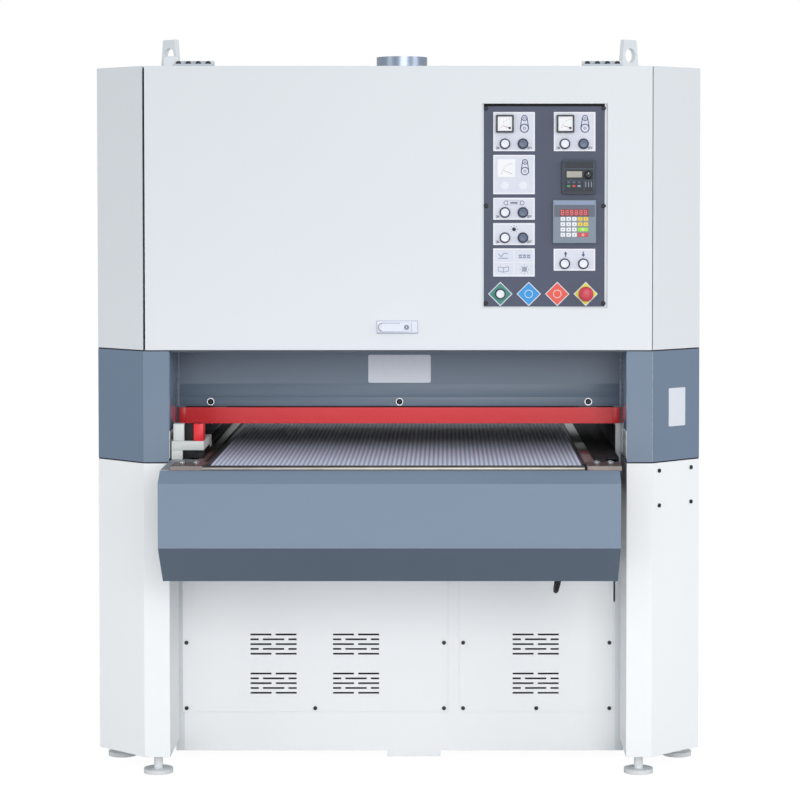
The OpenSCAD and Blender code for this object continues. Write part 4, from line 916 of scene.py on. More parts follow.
# %% Column linings
INNER_WALL = 622.0
LINING_Y = (COLUMN_Y + 1, -413)
lower_linings = {}
upper_linings = {}
for side in (-1, 1):
    wall = mirrored(side, INNER_WALL - 1.6, INNER_WALL + 0.4)
    lower_linings[f"table height {side}"] = (wall, LINING_Y, (TABLE_TOP + 3, 916), 0.3)
    lower_linings[f"board height {side}"] = (wall, LINING_Y, (917, 944), 0.3)
    upper_linings[f"band height {side}"] = (wall, LINING_Y, (945, 1158), 0.3)
barwork("lower_column_linings", "machine", "frame_white", lower_linings,
        powder_coat("gloss_enamel_white", "#D3D9D6", 0.12, 0.15, 0.03))
barwork("upper_column_linings", "machine", "cover_grey", upper_linings,
        powder_coat("gloss_enamel_blue_grey", "#75869B", 0.12, 0.15, 0.03))
print("column linings:", len(lower_linings) + len(upper_linings))

# %% [markdown]
# Where two covers meet, a foam seal fills the gap, and from outside only a dark line shows. Without
# the seal the gap would let light through. The seals follow the front outline of the columns, and
# black liners beside the belt paint the shade inside the machine. Red plates end the guard, as on the
# real bar.

# %% Gap seals, liners and guard ends
COLUMN_OUTLINE = [(830.8, -520.6), (691.6, -648.8), (623, -648.8), (623, -600), (830.8, -470)]
DOOR_SILL = [(-621, -645), (621, -645), (621, -600), (-621, -600)]
BAND_TOP_GAP = (1162.2, 1164.8)
BAND_LOW_GAP = (856.7, 859.3)
DOOR_GAP = (1162.1, 1163.4)
barwork("guard_end_plates", "machine", "bar_red", {
    f"plate {side}": (mirrored(side, 600.6, 619.0), (GUARD_Y, GUARD_Y + 3.8), (945.5, 990), 0.3)
    for side in (-1, 1)
})
# Painted shade: black liners inside the machine beside the belt.
barwork("side_plate_shade_liners", "machine", "frame_white", {
    f"liner {side}": (mirrored(side, 605.8, 607.4), (-403, 400), (700, 938), 0.3) for side in (-1, 1)
}, SCREEN_BLACK)
seals = Form()
for side in (-1, 1):
    for gap in (BAND_TOP_GAP, BAND_LOW_GAP):
        seals.loft([[(side * x, y, z) for x, y in COLUMN_OUTLINE] for z in gap])
seals.loft([[(x, y, z) for x, y in DOOR_SILL] for z in DOOR_GAP])
seals.done("cover_gap_seals", "machine", "cover_grey", SCREEN_BLACK)
barwork("guard_gap_screen", "machine", "bar_red", {
    "screen": ((-600, 600), (GUARD_Y + 8.4, GUARD_Y + 9.4), (990.4, 994.5), 0.2),
}, SCREEN_BLACK)
print("seal outline points:", len(COLUMN_OUTLINE), "at heights", BAND_TOP_GAP, BAND_LOW_GAP)

# %% [markdown]
# Sealant is pressed into the corner seams by hand, so a bead is never even. Its radius changes at
# random every few millimetres, from a seeded series, so that each run gives the same bead. Its pale
# colour also paints the thin highlight along the seam's edge.

# %% Sealant beads
BEAD_STEP = 3.0
beads = Form()


def bead(x, y, z0, z1, radius):
    """A rough bead of sealant that runs up a seam."""
    profile = []
    steps = int((z1 - z0) / BEAD_STEP)
    for k in range(steps + 1):
        r = radius * (0.55 + 0.6 * random.random())
        profile.append((r, z0 + (z1 - z0) * k / steps))
    beads.upright(x, y, profile, 8)


for side in (-1, 1):
    bead(side * (INNER_WALL - 1.0), -413.0, 994, 1158, 1.7)
bead(692.0, COLUMN_Y + 0.6, 862, 1160, 0.9)
# The bead's pale grey is partly sealant and partly a painted highlight along the seam.
beads.done("seam_sealant_highlight", "machine", "cover_grey",
           powder_coat("sealant_painted_highlight", "#A9B6C2", 0.6, cloud=0.2), smooth=60)
print("bead points:", len(beads.points))

# %% [markdown]
# The infeed panel is thin sheet, so its lower edge is doubled with two flat stiffeners. Three hex
# socket screws on bright washers hold it. The middle of each screw is measured from the packed one.

# %% Infeed panel
PANEL_FACE = -412
SCREW_X = (-531, 0, 531)
SCREW_Z = (990, 1025)
barwork("infeed_panel_stiffeners", "machine", "infeed_grey", {
    "lower": ((-619, 619), (PANEL_FACE - 0.9, PANEL_FACE), (993.5, 1019), 0.3),
    "upper": ((-619, 619), (PANEL_FACE - 0.5, PANEL_FACE), (1019, 1056), 0.2),
})
washers = Form()
sockets = Form()
for x in SCREW_X:
    near = [v.co / MM for v in NODES["cover_screws"].data.vertices
            if abs(v.co.x / MM - x) < 20 and SCREW_Z[0] < v.co.z / MM < SCREW_Z[1]]
    front = min(v.y for v in near)
    z = middle_between([v.z for v in near])
    washers.ring(x, z, 8.0, 10.8, front - 0.8, front + 0.4, 40)
    sockets.turned(x, z, [(3.6, front + 0.1), (4.0, front - 1.2), (7.4, front - 1.4),
                          (7.9, front - 0.9), (7.9, front + 0.2)])
washers.done("guard_screw_washers", "machine", "black_screw", PAINT["latch_zinc"], bevel=0.3)
sockets.done("guard_screw_sockets", "machine", "black_screw", SCREEN_BLACK)
print("infeed panel screws: front", round(front, 1), "middle", round(z, 1))

# %% [markdown]
# The door's latch is a swing handle that lies flush in its plate, with a lock cylinder at the pivot.
# White on white, such a part is read from its lines only. The shade along the plate's edge and in the
# finger groove round the grip's end is painted as thin grey proud shapes, and the dark lock with a pale
# keyway is drawn as thin proud shapes too.

# %% Latch
LATCH_SHADE_AND_LOCK_GREY = moulded("latch_shade_and_lock_grey", "#8089A2", 0.45)
LATCH_Z = 1228
LOCK_X = 24
LOCK_R = 6.6
GRIP_END = -42
GROOVE_OUT = 11.4
GROOVE_IN = 9.4
EDGE_SHADE_LINES = {
    "bottom": (-57, 54, 1210.6, 1212.6),
    "top": (-57, 54, 1244.2, 1245.2),
    "left": (-57.4, -56.4, 1211, 1245),
    "right": (53.4, 54.4, 1211, 1245),
    "pivot cover": (37.4, 38.2, 1214, 1243),
}


def placed_points(name):
    """All points of a CAD node where it stands, in millimetres."""
    return [NODES[name].matrix_world @ v.co / MM for v in NODES[name].data.vertices]


lock_front = min(p.y for p in placed_points("latch_handle"))
grip_front = min(p.y for p in placed_points("latch_handle") if p.x < 0)
plate_front = min(p.y for p in placed_points("latch_plate"))
rim = Form()
# Painted shade: thin grey lines along the plate's edges and at the pivot cover.
for x0, x1, z0, z1 in EDGE_SHADE_LINES.values():
    rim.box(x0, x1, plate_front - 0.3, plate_front + 0.1, z0, z1)
rim.done("latch_plate_edge_shade", "door", "latch_zinc", LATCH_SHADE_AND_LOCK_GREY)
half_turn = [math.radians(90 + 15 * k) for k in range(13)]
outer = [(GRIP_END + GROOVE_OUT * math.cos(a), LATCH_Z + GROOVE_OUT * math.sin(a)) for a in half_turn]
inner = [(GRIP_END + GROOVE_IN * math.cos(a), LATCH_Z + GROOVE_IN * math.sin(a)) for a in half_turn]
# Painted shade in the finger groove round the grip's end and along its top, then the dark lock disc.
groove = Form()
groove.prism(outer + inner[::-1], grip_front - 0.2, grip_front + 0.1)
groove.box(GRIP_END, 6, grip_front - 0.2, grip_front + 0.1, 1238.4, 1239.4)
groove.turned(LOCK_X, LATCH_Z, [(LOCK_R, lock_front - 0.3), (LOCK_R, lock_front + 0.2)])
groove.done("latch_groove_shade_and_lock", "latch_handle", "latch_zinc", LATCH_SHADE_AND_LOCK_GREY)
keyway = Form()
keyway.box(LOCK_X - 0.8, LOCK_X + 0.8, lock_front - 0.5, lock_front - 0.2, LATCH_Z - 3, LATCH_Z + 3)
keyway.done("latch_lock_keyway", "latch_handle", "latch_zinc", PAINT["button_white"])
print("latch: plate", round(plate_front, 1), "grip", round(grip_front, 1), "lock", round(lock_front, 1))

# %% [markdown]
# A blank film plate with round corners sits in the middle of the infeed panel, above the opening. It
# stands one millimetre proud, which is enough for a thin shadow along its lower edge.

# %% Blank plate on the infeed panel
PLATE_SPAN = (-88, 88, 1059, 1138)
infeed_plate = Form()
infeed_plate.raised(*PLATE_SPAN, 5.0, PANEL_FACE - 1.0, PANEL_FACE + 0.1, 0.4)
infeed_plate.done("infeed_notice_plate", "machine", "infeed_grey",
                  moulded("blank_plate_white", "#DDE1E8", 0.4))
print("blank plate:", PLATE_SPAN[1] - PLATE_SPAN[0], "by", PLATE_SPAN[3] - PLATE_SPAN[2], "mm")

# %% [markdown]
# The control plate is a recessed steel sheet with white printed legend plates on it. Printing is an
# ink film that stands a tenth of a millimetre proud, so it catches no light of its own and has crisp
# edges. The places are shares of the control plate, so the legends follow it if it is moved.

# %% Where the legend plates lie
PLATE_LOW, PLATE_HIGH = mm_box("control_plate")
LEGEND_FACE = mm_box("legend_plates")[0].y
LEGEND_W = 113.0
LEFT_SHARE = 0.254
RIGHT_SHARE = 0.738
INK = 0.12
INK_Y = LEGEND_FACE - INK


def share_x(s):
    return PLATE_LOW.x + s * (PLATE_HIGH.x - PLATE_LOW.x)


def share_z(s):
    return PLATE_LOW.z + s * (PLATE_HIGH.z - PLATE_LOW.z)


def legend(column, low_share, high_share):
    """The sides of one legend plate: x0, x1, z0, z1."""
    x = share_x(column)
    return x - LEGEND_W / 2, x + LEGEND_W / 2, share_z(low_share), share_z(high_share)


LEGENDS = {
    "head_1": legend(LEFT_SHARE, 0.768, 0.960),
    "head_2": legend(RIGHT_SHARE, 0.768, 0.960),
    "gauge": legend(LEFT_SHARE, 0.557, 0.750),
    "feed": legend(LEFT_SHARE, 0.432, 0.540),
    "lamp": legend(LEFT_SHARE, 0.308, 0.416),
    "brakes": legend(LEFT_SHARE, 0.153, 0.292),
    "table": legend(RIGHT_SHARE, 0.182, 0.290),
}
print("legend plates:", {n: [round(v) for v in sides] for n, sides in LEGENDS.items()})

# %% [markdown]
# All printing of one ink is gathered in one form, and becomes one piece at the end. Everything that is
# printed is a flat outline: a thin frame is four strokes, and a ray pattern is a ring of short strokes.

# %% Inks and how they are printed
INKS = {
    "blue": moulded("ink_film_blue", "#42537D", 0.5),
    "pale": moulded("ink_film_pale_blue", "#8795B6", 0.5),
    "faint": moulded("ink_film_faint", "#F2F5FC", 0.5),
    "white": moulded("ink_film_white", "#FBFCFF", 0.4),
    "grey": moulded("ink_film_grey", "#9AA3B4", 0.5),
    "dark": moulded("ink_film_dark", "#262B36", 0.5),
    "red": moulded("ink_film_red", "#D8433F", 0.5),
}
PRINT = {colour: Form() for colour in INKS}


def printed(colour, outline, layer=0):
    """Adds one printed shape on the legend plates, or on an ink film that lies there already."""
    PRINT[colour].prism(outline, INK_Y - layer * INK, LEGEND_FACE - layer * INK)


def printed_ring(colour, x, z, inner, outer):
    """Prints a circle with a line width."""
    PRINT[colour].ring(x, z, inner, outer, INK_Y, LEGEND_FACE)


def outline_of(colour, x0, x1, z0, z1, width):
    """Prints a thin rectangle as four strokes."""
    printed(colour, rounded_rect(x0, x1, z0, z0 + width))
    printed(colour, rounded_rect(x0, x1, z1 - width, z1))
    printed(colour, rounded_rect(x0, x0 + width, z0 + width, z1 - width))
    printed(colour, rounded_rect(x1 - width, x1, z0 + width, z1 - width))


def spoke(x, z, angle, inner, outer, width):
    """The outline of a short line that points away from a middle."""
    return stroke(x + inner * math.cos(angle), z + inner * math.sin(angle),
                  x + outer * math.cos(angle), z + outer * math.sin(angle), width)


def rays(colour, x, z, inner, outer, width, count=8):
    """Prints short strokes all round a middle."""
    for k in range(count):
        printed(colour, spoke(x, z, 2 * math.pi * k / count, inner, outer, width))


print("inks:", list(INKS))

# %% [markdown]
# Each symbol is drawn from a few strokes. The head motors have a sanding belt over its two rollers,
# the feed has a flat conveyor, the work lamp has rays, and the table has arrows that say up and down.

# %% Symbols of the heads, the feed, the lamp and the table
def belt_symbol(x, z, size):
    """A sanding belt over a small and a large roller."""
    for end_z, inner, outer in ((0.36, 0.13, 0.18), (-0.24, 0.21, 0.27)):
        printed_ring("blue", x, z + size * end_z, size * inner, size * outer)
        printed_ring("blue", x, z + size * end_z, size * 0.05, size * 0.08)
    for side in (-1, 1):
        printed("blue", stroke(x + side * size * 0.155, z + size * 0.38,
                               x + side * size * 0.24, z - size * 0.2, size * 0.05))


for name in ("head_1", "head_2"):
    x0, x1, z0, z1 = LEGENDS[name]
    belt_symbol((x0 + x1) / 2 + 28, z1 - 33, 46)

x0, x1, z0, z1 = LEGENDS["feed"]
middle = (x0 + x1) / 2
feed_z = z1 - 14
for x in (middle - 22, middle + 22):
    printed_ring("blue", x, feed_z, 4.6, 6.2)
for z in (z1 - 8.6, z1 - 19.4):
    printed("blue", stroke(middle - 20, z, middle + 20, z, 0.7))
printed("dark", stroke(middle - 10, feed_z, middle + 10, feed_z, 3.4))

lamp_z = LEGENDS["lamp"][3] - 17
PRINT["dark"].turned(middle, lamp_z, [(5.0, INK_Y), (5.4, LEGEND_FACE)])
rays("blue", middle, lamp_z, 8, 11.5, 1.2)

x0, x1, z0, z1 = LEGENDS["table"]
arrow_z = z1 - 15
for x, way in (((x0 + x1) / 2 - 24, 1), ((x0 + x1) / 2 + 24, -1)):
    printed("blue", [(x - 5, arrow_z), (x + 5, arrow_z), (x, arrow_z + way * 8)][::way])
    tail = sorted((arrow_z, arrow_z - way * 7))
    printed("blue", rounded_rect(x - 1.6, x + 1.6, *tail))
print("points printed so far:", {c: len(f.points) for c, f in PRINT.items()})

# %% [markdown]
# The third legend plate on the left is spare: it has a printed dial, a belt symbol and two pale
# discs where a meter and buttons would sit. The plate below the lamp's explains the machine with four
# pictograms: a brake lever, three rollers, an open manual and a dust fan.

# %% Spare plate and pictograms
DIAL_MARKS = 8
DIAL_START = math.radians(93)
DIAL_SWEEP = math.radians(84)
LEVER = ((-14, -7, 12, -7), (-14, 5, -6, -3), (-6, -3, 0, 6), (0, 6, 12, 6))
x0, x1, z0, z1 = LEGENDS["gauge"]
dial_x, dial_z = x0 + 52, z1 - 52
printed("white", rounded_rect(x0 + 12, x0 + 60, z1 - 60, z1 - 12, 2.0))
for k in range(DIAL_MARKS + 1):
    printed("pale", spoke(dial_x, dial_z, DIAL_START + DIAL_SWEEP * k / DIAL_MARKS, 26, 30, 0.9), 1)
printed("pale", stroke(dial_x, dial_z, x0 + 28, z1 - 42, 1.0), 1)
belt_symbol(x1 - 27, z1 - 34, 42)
for x in ((x0 + x1) / 2 - 25, (x0 + x1) / 2 + 25):
    PRINT["faint"].turned(x, z0 + 24, [(10.5, INK_Y), (11.0, LEGEND_FACE)])

x0, x1, z0, z1 = LEGENDS["brakes"]
low_z, high_z = z0 + 20, z1 - 20
left_x, right_x = x0 + 28, x1 - 28
for ax, az, bx, bz in LEVER:
    printed("pale", stroke(left_x + ax, high_z + az, left_x + bx, high_z + bz, 2.2))
for z in (high_z - 6, high_z + 2):
    printed("pale", stroke(right_x - 17, z, right_x + 17, z, 1.7))
for x in (right_x - 11, right_x, right_x + 11):
    printed_ring("pale", x, high_z - 2, 1.6, 4.0)
for side in (-1, 1):
    page = [(left_x, low_z - 8), (left_x + side * 14, low_z - 5),
            (left_x + side * 14, low_z + 7), (left_x, low_z + 4)]
    for k in range(4):
        printed("pale", stroke(*page[k], *page[(k + 1) % 4], 1.6))
printed("grey", rounded_rect(right_x - 6.5, right_x + 6.5, low_z - 6.5, low_z + 6.5, 1.0))
rays("grey", right_x, low_z, 9.5, 13, 1.6)
printed("white", stroke((x0 + x1) / 2, z0 + 4, (x0 + x1) / 2, z1 - 4, 1.2))
printed("white", stroke(x0 + 5, (z0 + z1) / 2, x1 - 5, (z0 + z1) / 2, 1.2))
print("pictograms on the plate from z", round(z0), "to", round(z1))

# %% [markdown]
# Every legend plate has a white printed frame, and the plates with two buttons say ON and OFF in
# block letters at their lower corners. White strips at the control plate's sides and bottom paint the
# highlight on the rim of the door's cut-out, and a black strip at its top paints the shadow under the
# door's edge.

# %% Frames, words, and the painted highlight and shadow at the plate's edge
FRAME_W = 2.4
WORD_H = 6.0
LINE_Y = (PLATE_LOW.y - 0.3, PLATE_LOW.y + 0.1)
LEFT_LINE = PLATE_LOW.x + 4
RIGHT_LINE = PLATE_HIGH.x - 7
for name, (x0, x1, z0, z1) in LEGENDS.items():
    outline_of("white", x0 + 1, x1 - 1, z0 + 1, z1 - 1, FRAME_W)
    if name in ("head_1", "head_2", "feed", "lamp"):
        word(PRINT["dark"], "ON", x0 + 12, z0 + 8.5, WORD_H, INK_Y, LEGEND_FACE)
        word(PRINT["dark"], "OFF", x1 - 14, z0 + 8.5, WORD_H, INK_Y, LEGEND_FACE)
# Painted highlight: white strips on the rim of the door's cut-out at the plate's sides and bottom.
barwork("control_plate_rim_highlight", "door", "control_grey", {
    "left": ((PLATE_LOW.x, LEFT_LINE), LINE_Y, (PLATE_LOW.z, PLATE_HIGH.z), 0.0),
    "right": ((RIGHT_LINE, PLATE_HIGH.x), LINE_Y, (PLATE_LOW.z, PLATE_HIGH.z), 0.0),
    "bottom": ((LEFT_LINE, RIGHT_LINE), LINE_Y, (PLATE_LOW.z, PLATE_LOW.z + 3), 0.0),
}, PAINT["cover_white"])
# Painted shadow: a black strip under the door's edge at the plate's top.
barwork("control_plate_top_shadow", "door", "control_grey", {
    "gap": ((LEFT_LINE, RIGHT_LINE), LINE_Y, (PLATE_HIGH.z - 7, PLATE_HIGH.z), 0.0),
}, SCREEN_BLACK)
print("words in dark ink:", len(PRINT["dark"].faces), "faces")

# %% [markdown]
# The four signal plates are diamonds. Two carry a button or the stop mushroom, and two are printed
# only. A diamond has a light border because its coloured film is cut smaller than the white plate.

# %% Signal diamonds
SIGNAL_SHARES = {"green": 0.145, "blue": 0.373, "orange": 0.601, "yellow": 0.829}
SIGNAL_ROW = 0.068
SIGNAL_R = 33.0
SIGNAL_BORDER = 3.0
FILM = {
    "green": moulded("signal_film_green", "#3F8F80", 0.45),
    "blue": moulded("signal_film_blue", "#2C9BE2", 0.45),
    "orange": moulded("signal_film_orange", "#F25C4A", 0.45),
    "yellow": moulded("signal_film_yellow", "#F4EE3E", 0.45),
}


def diamond(x, z, r):
    """The outline of a square that stands on its corner."""
    return [(x, z - r), (x + r, z), (x, z + r), (x - r, z)]


signal_z = share_z(SIGNAL_ROW)
for colour, share in SIGNAL_SHARES.items():
    x = share_x(share)
    film = Form()
    film.prism(diamond(x, signal_z, SIGNAL_R - SIGNAL_BORDER), INK_Y, LEGEND_FACE)
    film.done("signal_film_" + colour, "door", "legend_white", FILM[colour])
    if colour in ("blue", "orange"):
        PRINT["faint"].ring(x, signal_z, 9.8, 11.2, INK_Y - INK, INK_Y)
for colour, form in PRINT.items():
    if form.faces:
        form.done("legend_print_" + colour, "door", "legend_white", INKS[colour])
print("signal films:", list(FILM), "on z", round(signal_z))

# %% [markdown]
# A push button is a bezel ring screwed down on the plate and a cap that slides in it. The cap has a
# flat face with a rolled edge and a shallow dish, so a finger finds its middle. The stop button is a
# mushroom with a domed head and a narrow neck. They are turned profiles here, as they are in the
# moulding tool.

# %% Buttons, bezels and the stop mushroom
ONES = [n for n in NODES if n.startswith("start_button")]
OFFS = [n for n in NODES if n.startswith("off_button")]
OTHERS = ["table_up_button", "table_down_button", "cycle_start_button"]
CAP_R = 11.0
BEZEL_R = 14.5
STOP_R = 20.0
BEZEL_Y0, BEZEL_Y1 = mm_box("button_bezels")[0].y, mm_box("button_bezels")[1].y
bezels = Form()


def middle_of(name):
    """The middle of a CAD node, in millimetres."""
    low, high = mm_box(name)
    return (low + high) / 2


def bezel(spot):
    """Adds one bezel ring: the bore, a rolled rim, the face and the outside down to the plate."""
    profile = [(CAP_R + 0.3, BEZEL_Y1), (CAP_R + 0.3, BEZEL_Y0 + 0.8), (CAP_R + 1.0, BEZEL_Y0),
               (BEZEL_R - 1.1, BEZEL_Y0), (BEZEL_R, BEZEL_Y0 + 1.3), (BEZEL_R, LEGEND_FACE)]
    bezels.loft([[(px, y, pz) for px, pz in disc(spot.x, spot.z, r, 40)] for r, y in profile],
                False, False)


for name in ONES + OFFS + OTHERS:
    low, high = mm_box(name)
    spot = middle_of(name)
    cap = Form()
    cap.turned(spot.x, spot.z, [
        (0.3, low.y + 0.5), (CAP_R - 4, low.y + 0.3), (CAP_R - 2.4, low.y),
        (CAP_R - 0.9, low.y + 0.25), (CAP_R - 0.2, low.y + 1.0), (CAP_R, low.y + 2.0),
        (CAP_R, high.y)], 40)
    slot_name = "button_dark" if name in OFFS else "button_white"
    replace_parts(cap.done(name + "_cap", BODY_OF[name], slot_name), name)
    bezel(spot)
stop = middle_of("stop_button")
bezel(stop)
stop_low, stop_high = mm_box("stop_button")
mushroom = Form()
mushroom.turned(stop.x, stop.z, [
    (0.3, stop_low.y), (6.0, stop_low.y + 0.2), (11.5, stop_low.y + 1.0), (16.0, stop_low.y + 2.8),
    (18.8, stop_low.y + 5.4), (STOP_R, stop_low.y + 8.6), (STOP_R, stop_low.y + 11.6),
    (STOP_R - 1.2, stop_low.y + 13.4), (CAP_R - 0.5, stop_low.y + 14.0),
    (CAP_R - 0.5, stop_high.y)], 48)
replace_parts(mushroom.done("stop_mushroom", "stop_button", "stop_red"), "stop_button")
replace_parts(bezels.done("button_bezel_rings", "door", "bezel_blue"), "button_bezels")
print("buttons:", len(ONES + OFFS + OTHERS), "bezel depth:", round(BEZEL_Y1 - BEZEL_Y0, 1))

# %% [markdown]
# The two ammeters are moving-coil meters behind glass. A dark frame holds a white card with an arc
# of scale marks, and the needle turns about a pivot that hides under a small black dot in the lower
# right corner. The needle's outer half is red, so the eye finds the reading.

# %% Ammeters
METER = 48.0
METER_FRONT, METER_BACK = mm_box("ammeters")[0].y, LEGEND_FACE
METER_ROW = 0.902
METER_SHIFT = 25.0
CARD_INSET = 4.6
CARD_Y = METER_FRONT + 2.2
SCALE_MARKS = 10
SCALE_R = 22.0
NEEDLE_ANGLE = math.radians(163)
NEEDLE_R = 20.0
RED_FROM = 12.0
housings = Form()
cards = Form()
scales = Form()
needles = Form()
tips = Form()
pivots = Form()
for name in ("head_1", "head_2"):
    x0, x1, z0, z1 = LEGENDS[name]
    cx = (x0 + x1) / 2 - METER_SHIFT
    cz = share_z(METER_ROW)
    left, right, low_z, high_z = cx - METER / 2, cx + METER / 2, cz - METER / 2, cz + METER / 2
    housings.framed(left, right, low_z, high_z, 3.0, METER_FRONT, METER_BACK, 4.0, 2.4, 0.8)
    cards.prism(rounded_rect(left + CARD_INSET, right - CARD_INSET, low_z + CARD_INSET,
                             high_z - CARD_INSET, 1.0), CARD_Y, CARD_Y + 0.2)
    pivot_x, pivot_z = right - 11.0, low_z + 12.5
    for k in range(SCALE_MARKS + 1):
        long = 3.2 if k % 5 == 0 else 2.0
        a = DIAL_START + DIAL_SWEEP * k / SCALE_MARKS
        scales.prism(spoke(pivot_x, pivot_z, a, SCALE_R, SCALE_R + long, 0.55), CARD_Y - 0.1, CARD_Y)
    needles.prism(spoke(pivot_x, pivot_z, NEEDLE_ANGLE, 0.0, RED_FROM, 1.1), CARD_Y - 0.5, CARD_Y - 0.3)
    tips.prism(spoke(pivot_x, pivot_z, NEEDLE_ANGLE, RED_FROM, NEEDLE_R, 1.1), CARD_Y - 0.5,
               CARD_Y - 0.3)
    pivots.turned(pivot_x, pivot_z, [(2.6, CARD_Y - 1.2), (3.2, CARD_Y - 0.8), (3.2, CARD_Y)])
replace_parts(housings.done("ammeter_housings", "door", "meter_white", bevel=0.3), "ammeters")
cards.done("ammeter_cards", "door", "meter_white", INKS["white"])
scales.done("ammeter_scales", "door", "meter_white", INKS["dark"])
needles.done("ammeter_needles", "door", "meter_white", INKS["dark"])
tips.done("ammeter_needle_tips", "door", "meter_white", INKS["red"])
pivots.done("ammeter_pivots", "door", "meter_white", PAINT["knob_black"])
print("ammeters:", METER, "mm square, front on y", round(METER_FRONT, 1))

# %% [markdown]
# The drive keypad sets the belt's feed speed. It is a dark moulding with a stepped frame, a small
# grey display, a turning knob with white marks, and two rows of keys. Start is green and stop is
# red, which is the usual colour code. All places on it are shares of its face.

# %% Drive keypad: case, face and seams
PAD_LOW, PAD_HIGH = mm_box("drive_keypad")
PAD_Y = PAD_LOW.y
KEYS = {
    "grey": moulded("key_plastic_grey", "#9AA5B1", 0.4),
    "green": moulded("key_plastic_green", "#3FA56B", 0.4),
    "red": moulded("key_plastic_red", "#D84848", 0.4),
    "slate": moulded("key_plastic_slate", "#566070", 0.4),
    "white": moulded("key_plastic_white", "#F5F6F8", 0.4),
    "yellow": moulded("key_plastic_yellow", "#F7D34A", 0.4),
    "lime": moulded("key_plastic_lime", "#A8E63B", 0.4),
}
LCD = moulded("lcd_window_grey", "#A9A79A", 0.25)
SEAM_SHARES = {
    "under the title": (0.07, 0.93, 0.735, 0.75),
    "over the keys": (0.07, 0.93, 0.40, 0.41),
    "beside the slots": (0.655, 0.665, 0.09, 0.41),
    "left edge": (0.055, 0.068, 0.09, 0.93),
    "right edge": (0.932, 0.945, 0.09, 0.93),
}


def pad_x(s):
    return PAD_LOW.x + s * (PAD_HIGH.x - PAD_LOW.x)


def pad_z(s):
    return PAD_LOW.z + s * (PAD_HIGH.z - PAD_LOW.z)


def pad_plate(form, x0, x1, z0, z1, radius, proud, edge, depth=2.0):
    """Adds a plate on the keypad: its sides are shares, and proud is how far it stands out."""
    form.raised(pad_x(x0), pad_x(x1), pad_z(z0), pad_z(z1), radius, PAD_Y - proud, PAD_Y + depth, edge)


pad = Form()
pad.framed(PAD_LOW.x, PAD_HIGH.x, PAD_LOW.z, PAD_HIGH.z, 4.0, PAD_Y, METER_BACK + 2, 4.0, 0.8, 0.8)
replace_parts(pad.done("drive_keypad_case", "door", "keypad_dark", bevel=0.3), "drive_keypad")
face = Form()
pad_plate(face, 0.07, 0.93, 0.09, 0.93, 2.0, -0.1, 0.4, 3)
face.done("drive_keypad_face", "door", "keypad_dark", moulded("keypad_face_dark", "#262D37", 0.5))
barwork("drive_keypad_seams", "door", "keypad_dark", {
    seam: ((pad_x(x0), pad_x(x1)), (PAD_Y - 0.1, PAD_Y + 0.6), (pad_z(z0), pad_z(z1)), 0.0)
    for seam, (x0, x1, z0, z1) in SEAM_SHARES.items()
}, moulded("keypad_seam_slate", "#5C6D80", 0.5))
strip = Form()
pad_plate(strip, 0.05, 0.95, 0.015, 0.075, 0.8, -0.3, 0.2)
pad_plate(strip, 0.12, 0.62, 0.46, 0.70, 1.0, 0.3, 0.2)
strip.done("drive_keypad_dark_parts", "door", "keypad_dark", PAINT["knob_black"])
print("keypad:", [round(v) for v in PAD_HIGH - PAD_LOW], "mm")

# %% Drive keypad: slots, display and keys
KEY_ROWS = ((0.345, ("slate", "slate", "slate")), (0.235, ("green", "red", "grey")))
KEY_W, KEY_H = 8.8, 5.6
SLOT_W = 2.2
slots = Form()
for k in range(3):
    x = pad_x(0.71 + 0.085 * k)
    slots.raised(x - SLOT_W / 2, x + SLOT_W / 2, pad_z(0.20), pad_z(0.37), 0.9, PAD_Y - 0.2, PAD_Y + 2,
                 0.2)
slots.done("drive_keypad_light_slots", "door", "keypad_dark", KEYS["grey"])
lcd = Form()
pad_plate(lcd, 0.14, 0.60, 0.49, 0.67, 0.6, 0.5, 0.1, 0.0)
lcd.done("drive_keypad_display", "door", "keypad_dark", LCD)
key_sets = {colour: Form() for colour in ("grey", "green", "red", "slate")}
for row_share, colours in KEY_ROWS:
    for column, colour in enumerate(colours):
        x = pad_x(0.20 + 0.155 * column)
        z = pad_z(row_share)
        key_sets[colour].raised(x - KEY_W / 2, x + KEY_W / 2, z - KEY_H / 2, z + KEY_H / 2, 1.4,
                                PAD_Y - 1.2, PAD_Y + 1, 0.5)
for colour, form in key_sets.items():
    form.done("drive_keypad_keys_" + colour, "door", "keypad_dark", KEYS[colour])
print("keypad keys:", sum(len(colours) for _, colours in KEY_ROWS))

# %% [markdown]
# The knob is a turned cap whose side is fluted, so that a dry finger can turn it. A flute is cut by
# moving two of every four points of the rim inwards, but only where the profile is wide. Its white
# mark turns with it, and the nine scale marks stay on the keypad.

# %% Keypad knob
KNOB_R = 11.0
KNOB_POINTS = 72
FLUTE = 0.35
KNOB_PROFILE = ((0.2, 0), (7.0, 0.0), (8.6, 0.8), (KNOB_R, 5.0), (KNOB_R, 9.6))
knob_y = mm_box("keypad_knob")[0].y
knob_x, _, knob_z = middle_of("keypad_knob")
knob = Form()
rims = []
for r, y in KNOB_PROFILE:
    rim = []
    for k in range(KNOB_POINTS):
        a = 2 * math.pi * k / KNOB_POINTS
        cut = FLUTE if (k % 4 < 2 and r > 8) else 0.0
        rim.append((knob_x + (r - cut) * math.cos(a), knob_y + y, knob_z + (r - cut) * math.sin(a)))
    rims.append(rim)
knob.loft(rims)
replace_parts(knob.done("keypad_knob_cap", "keypad_knob", "knob_black"), "keypad_knob")
mark = Form()
mark.prism(stroke(knob_x, knob_z + 2, knob_x, knob_z + 6.4, 1.1), knob_y - 0.1, knob_y)
mark.done("keypad_knob_mark", "keypad_knob", "knob_black", INKS["white"])
marks = Form()
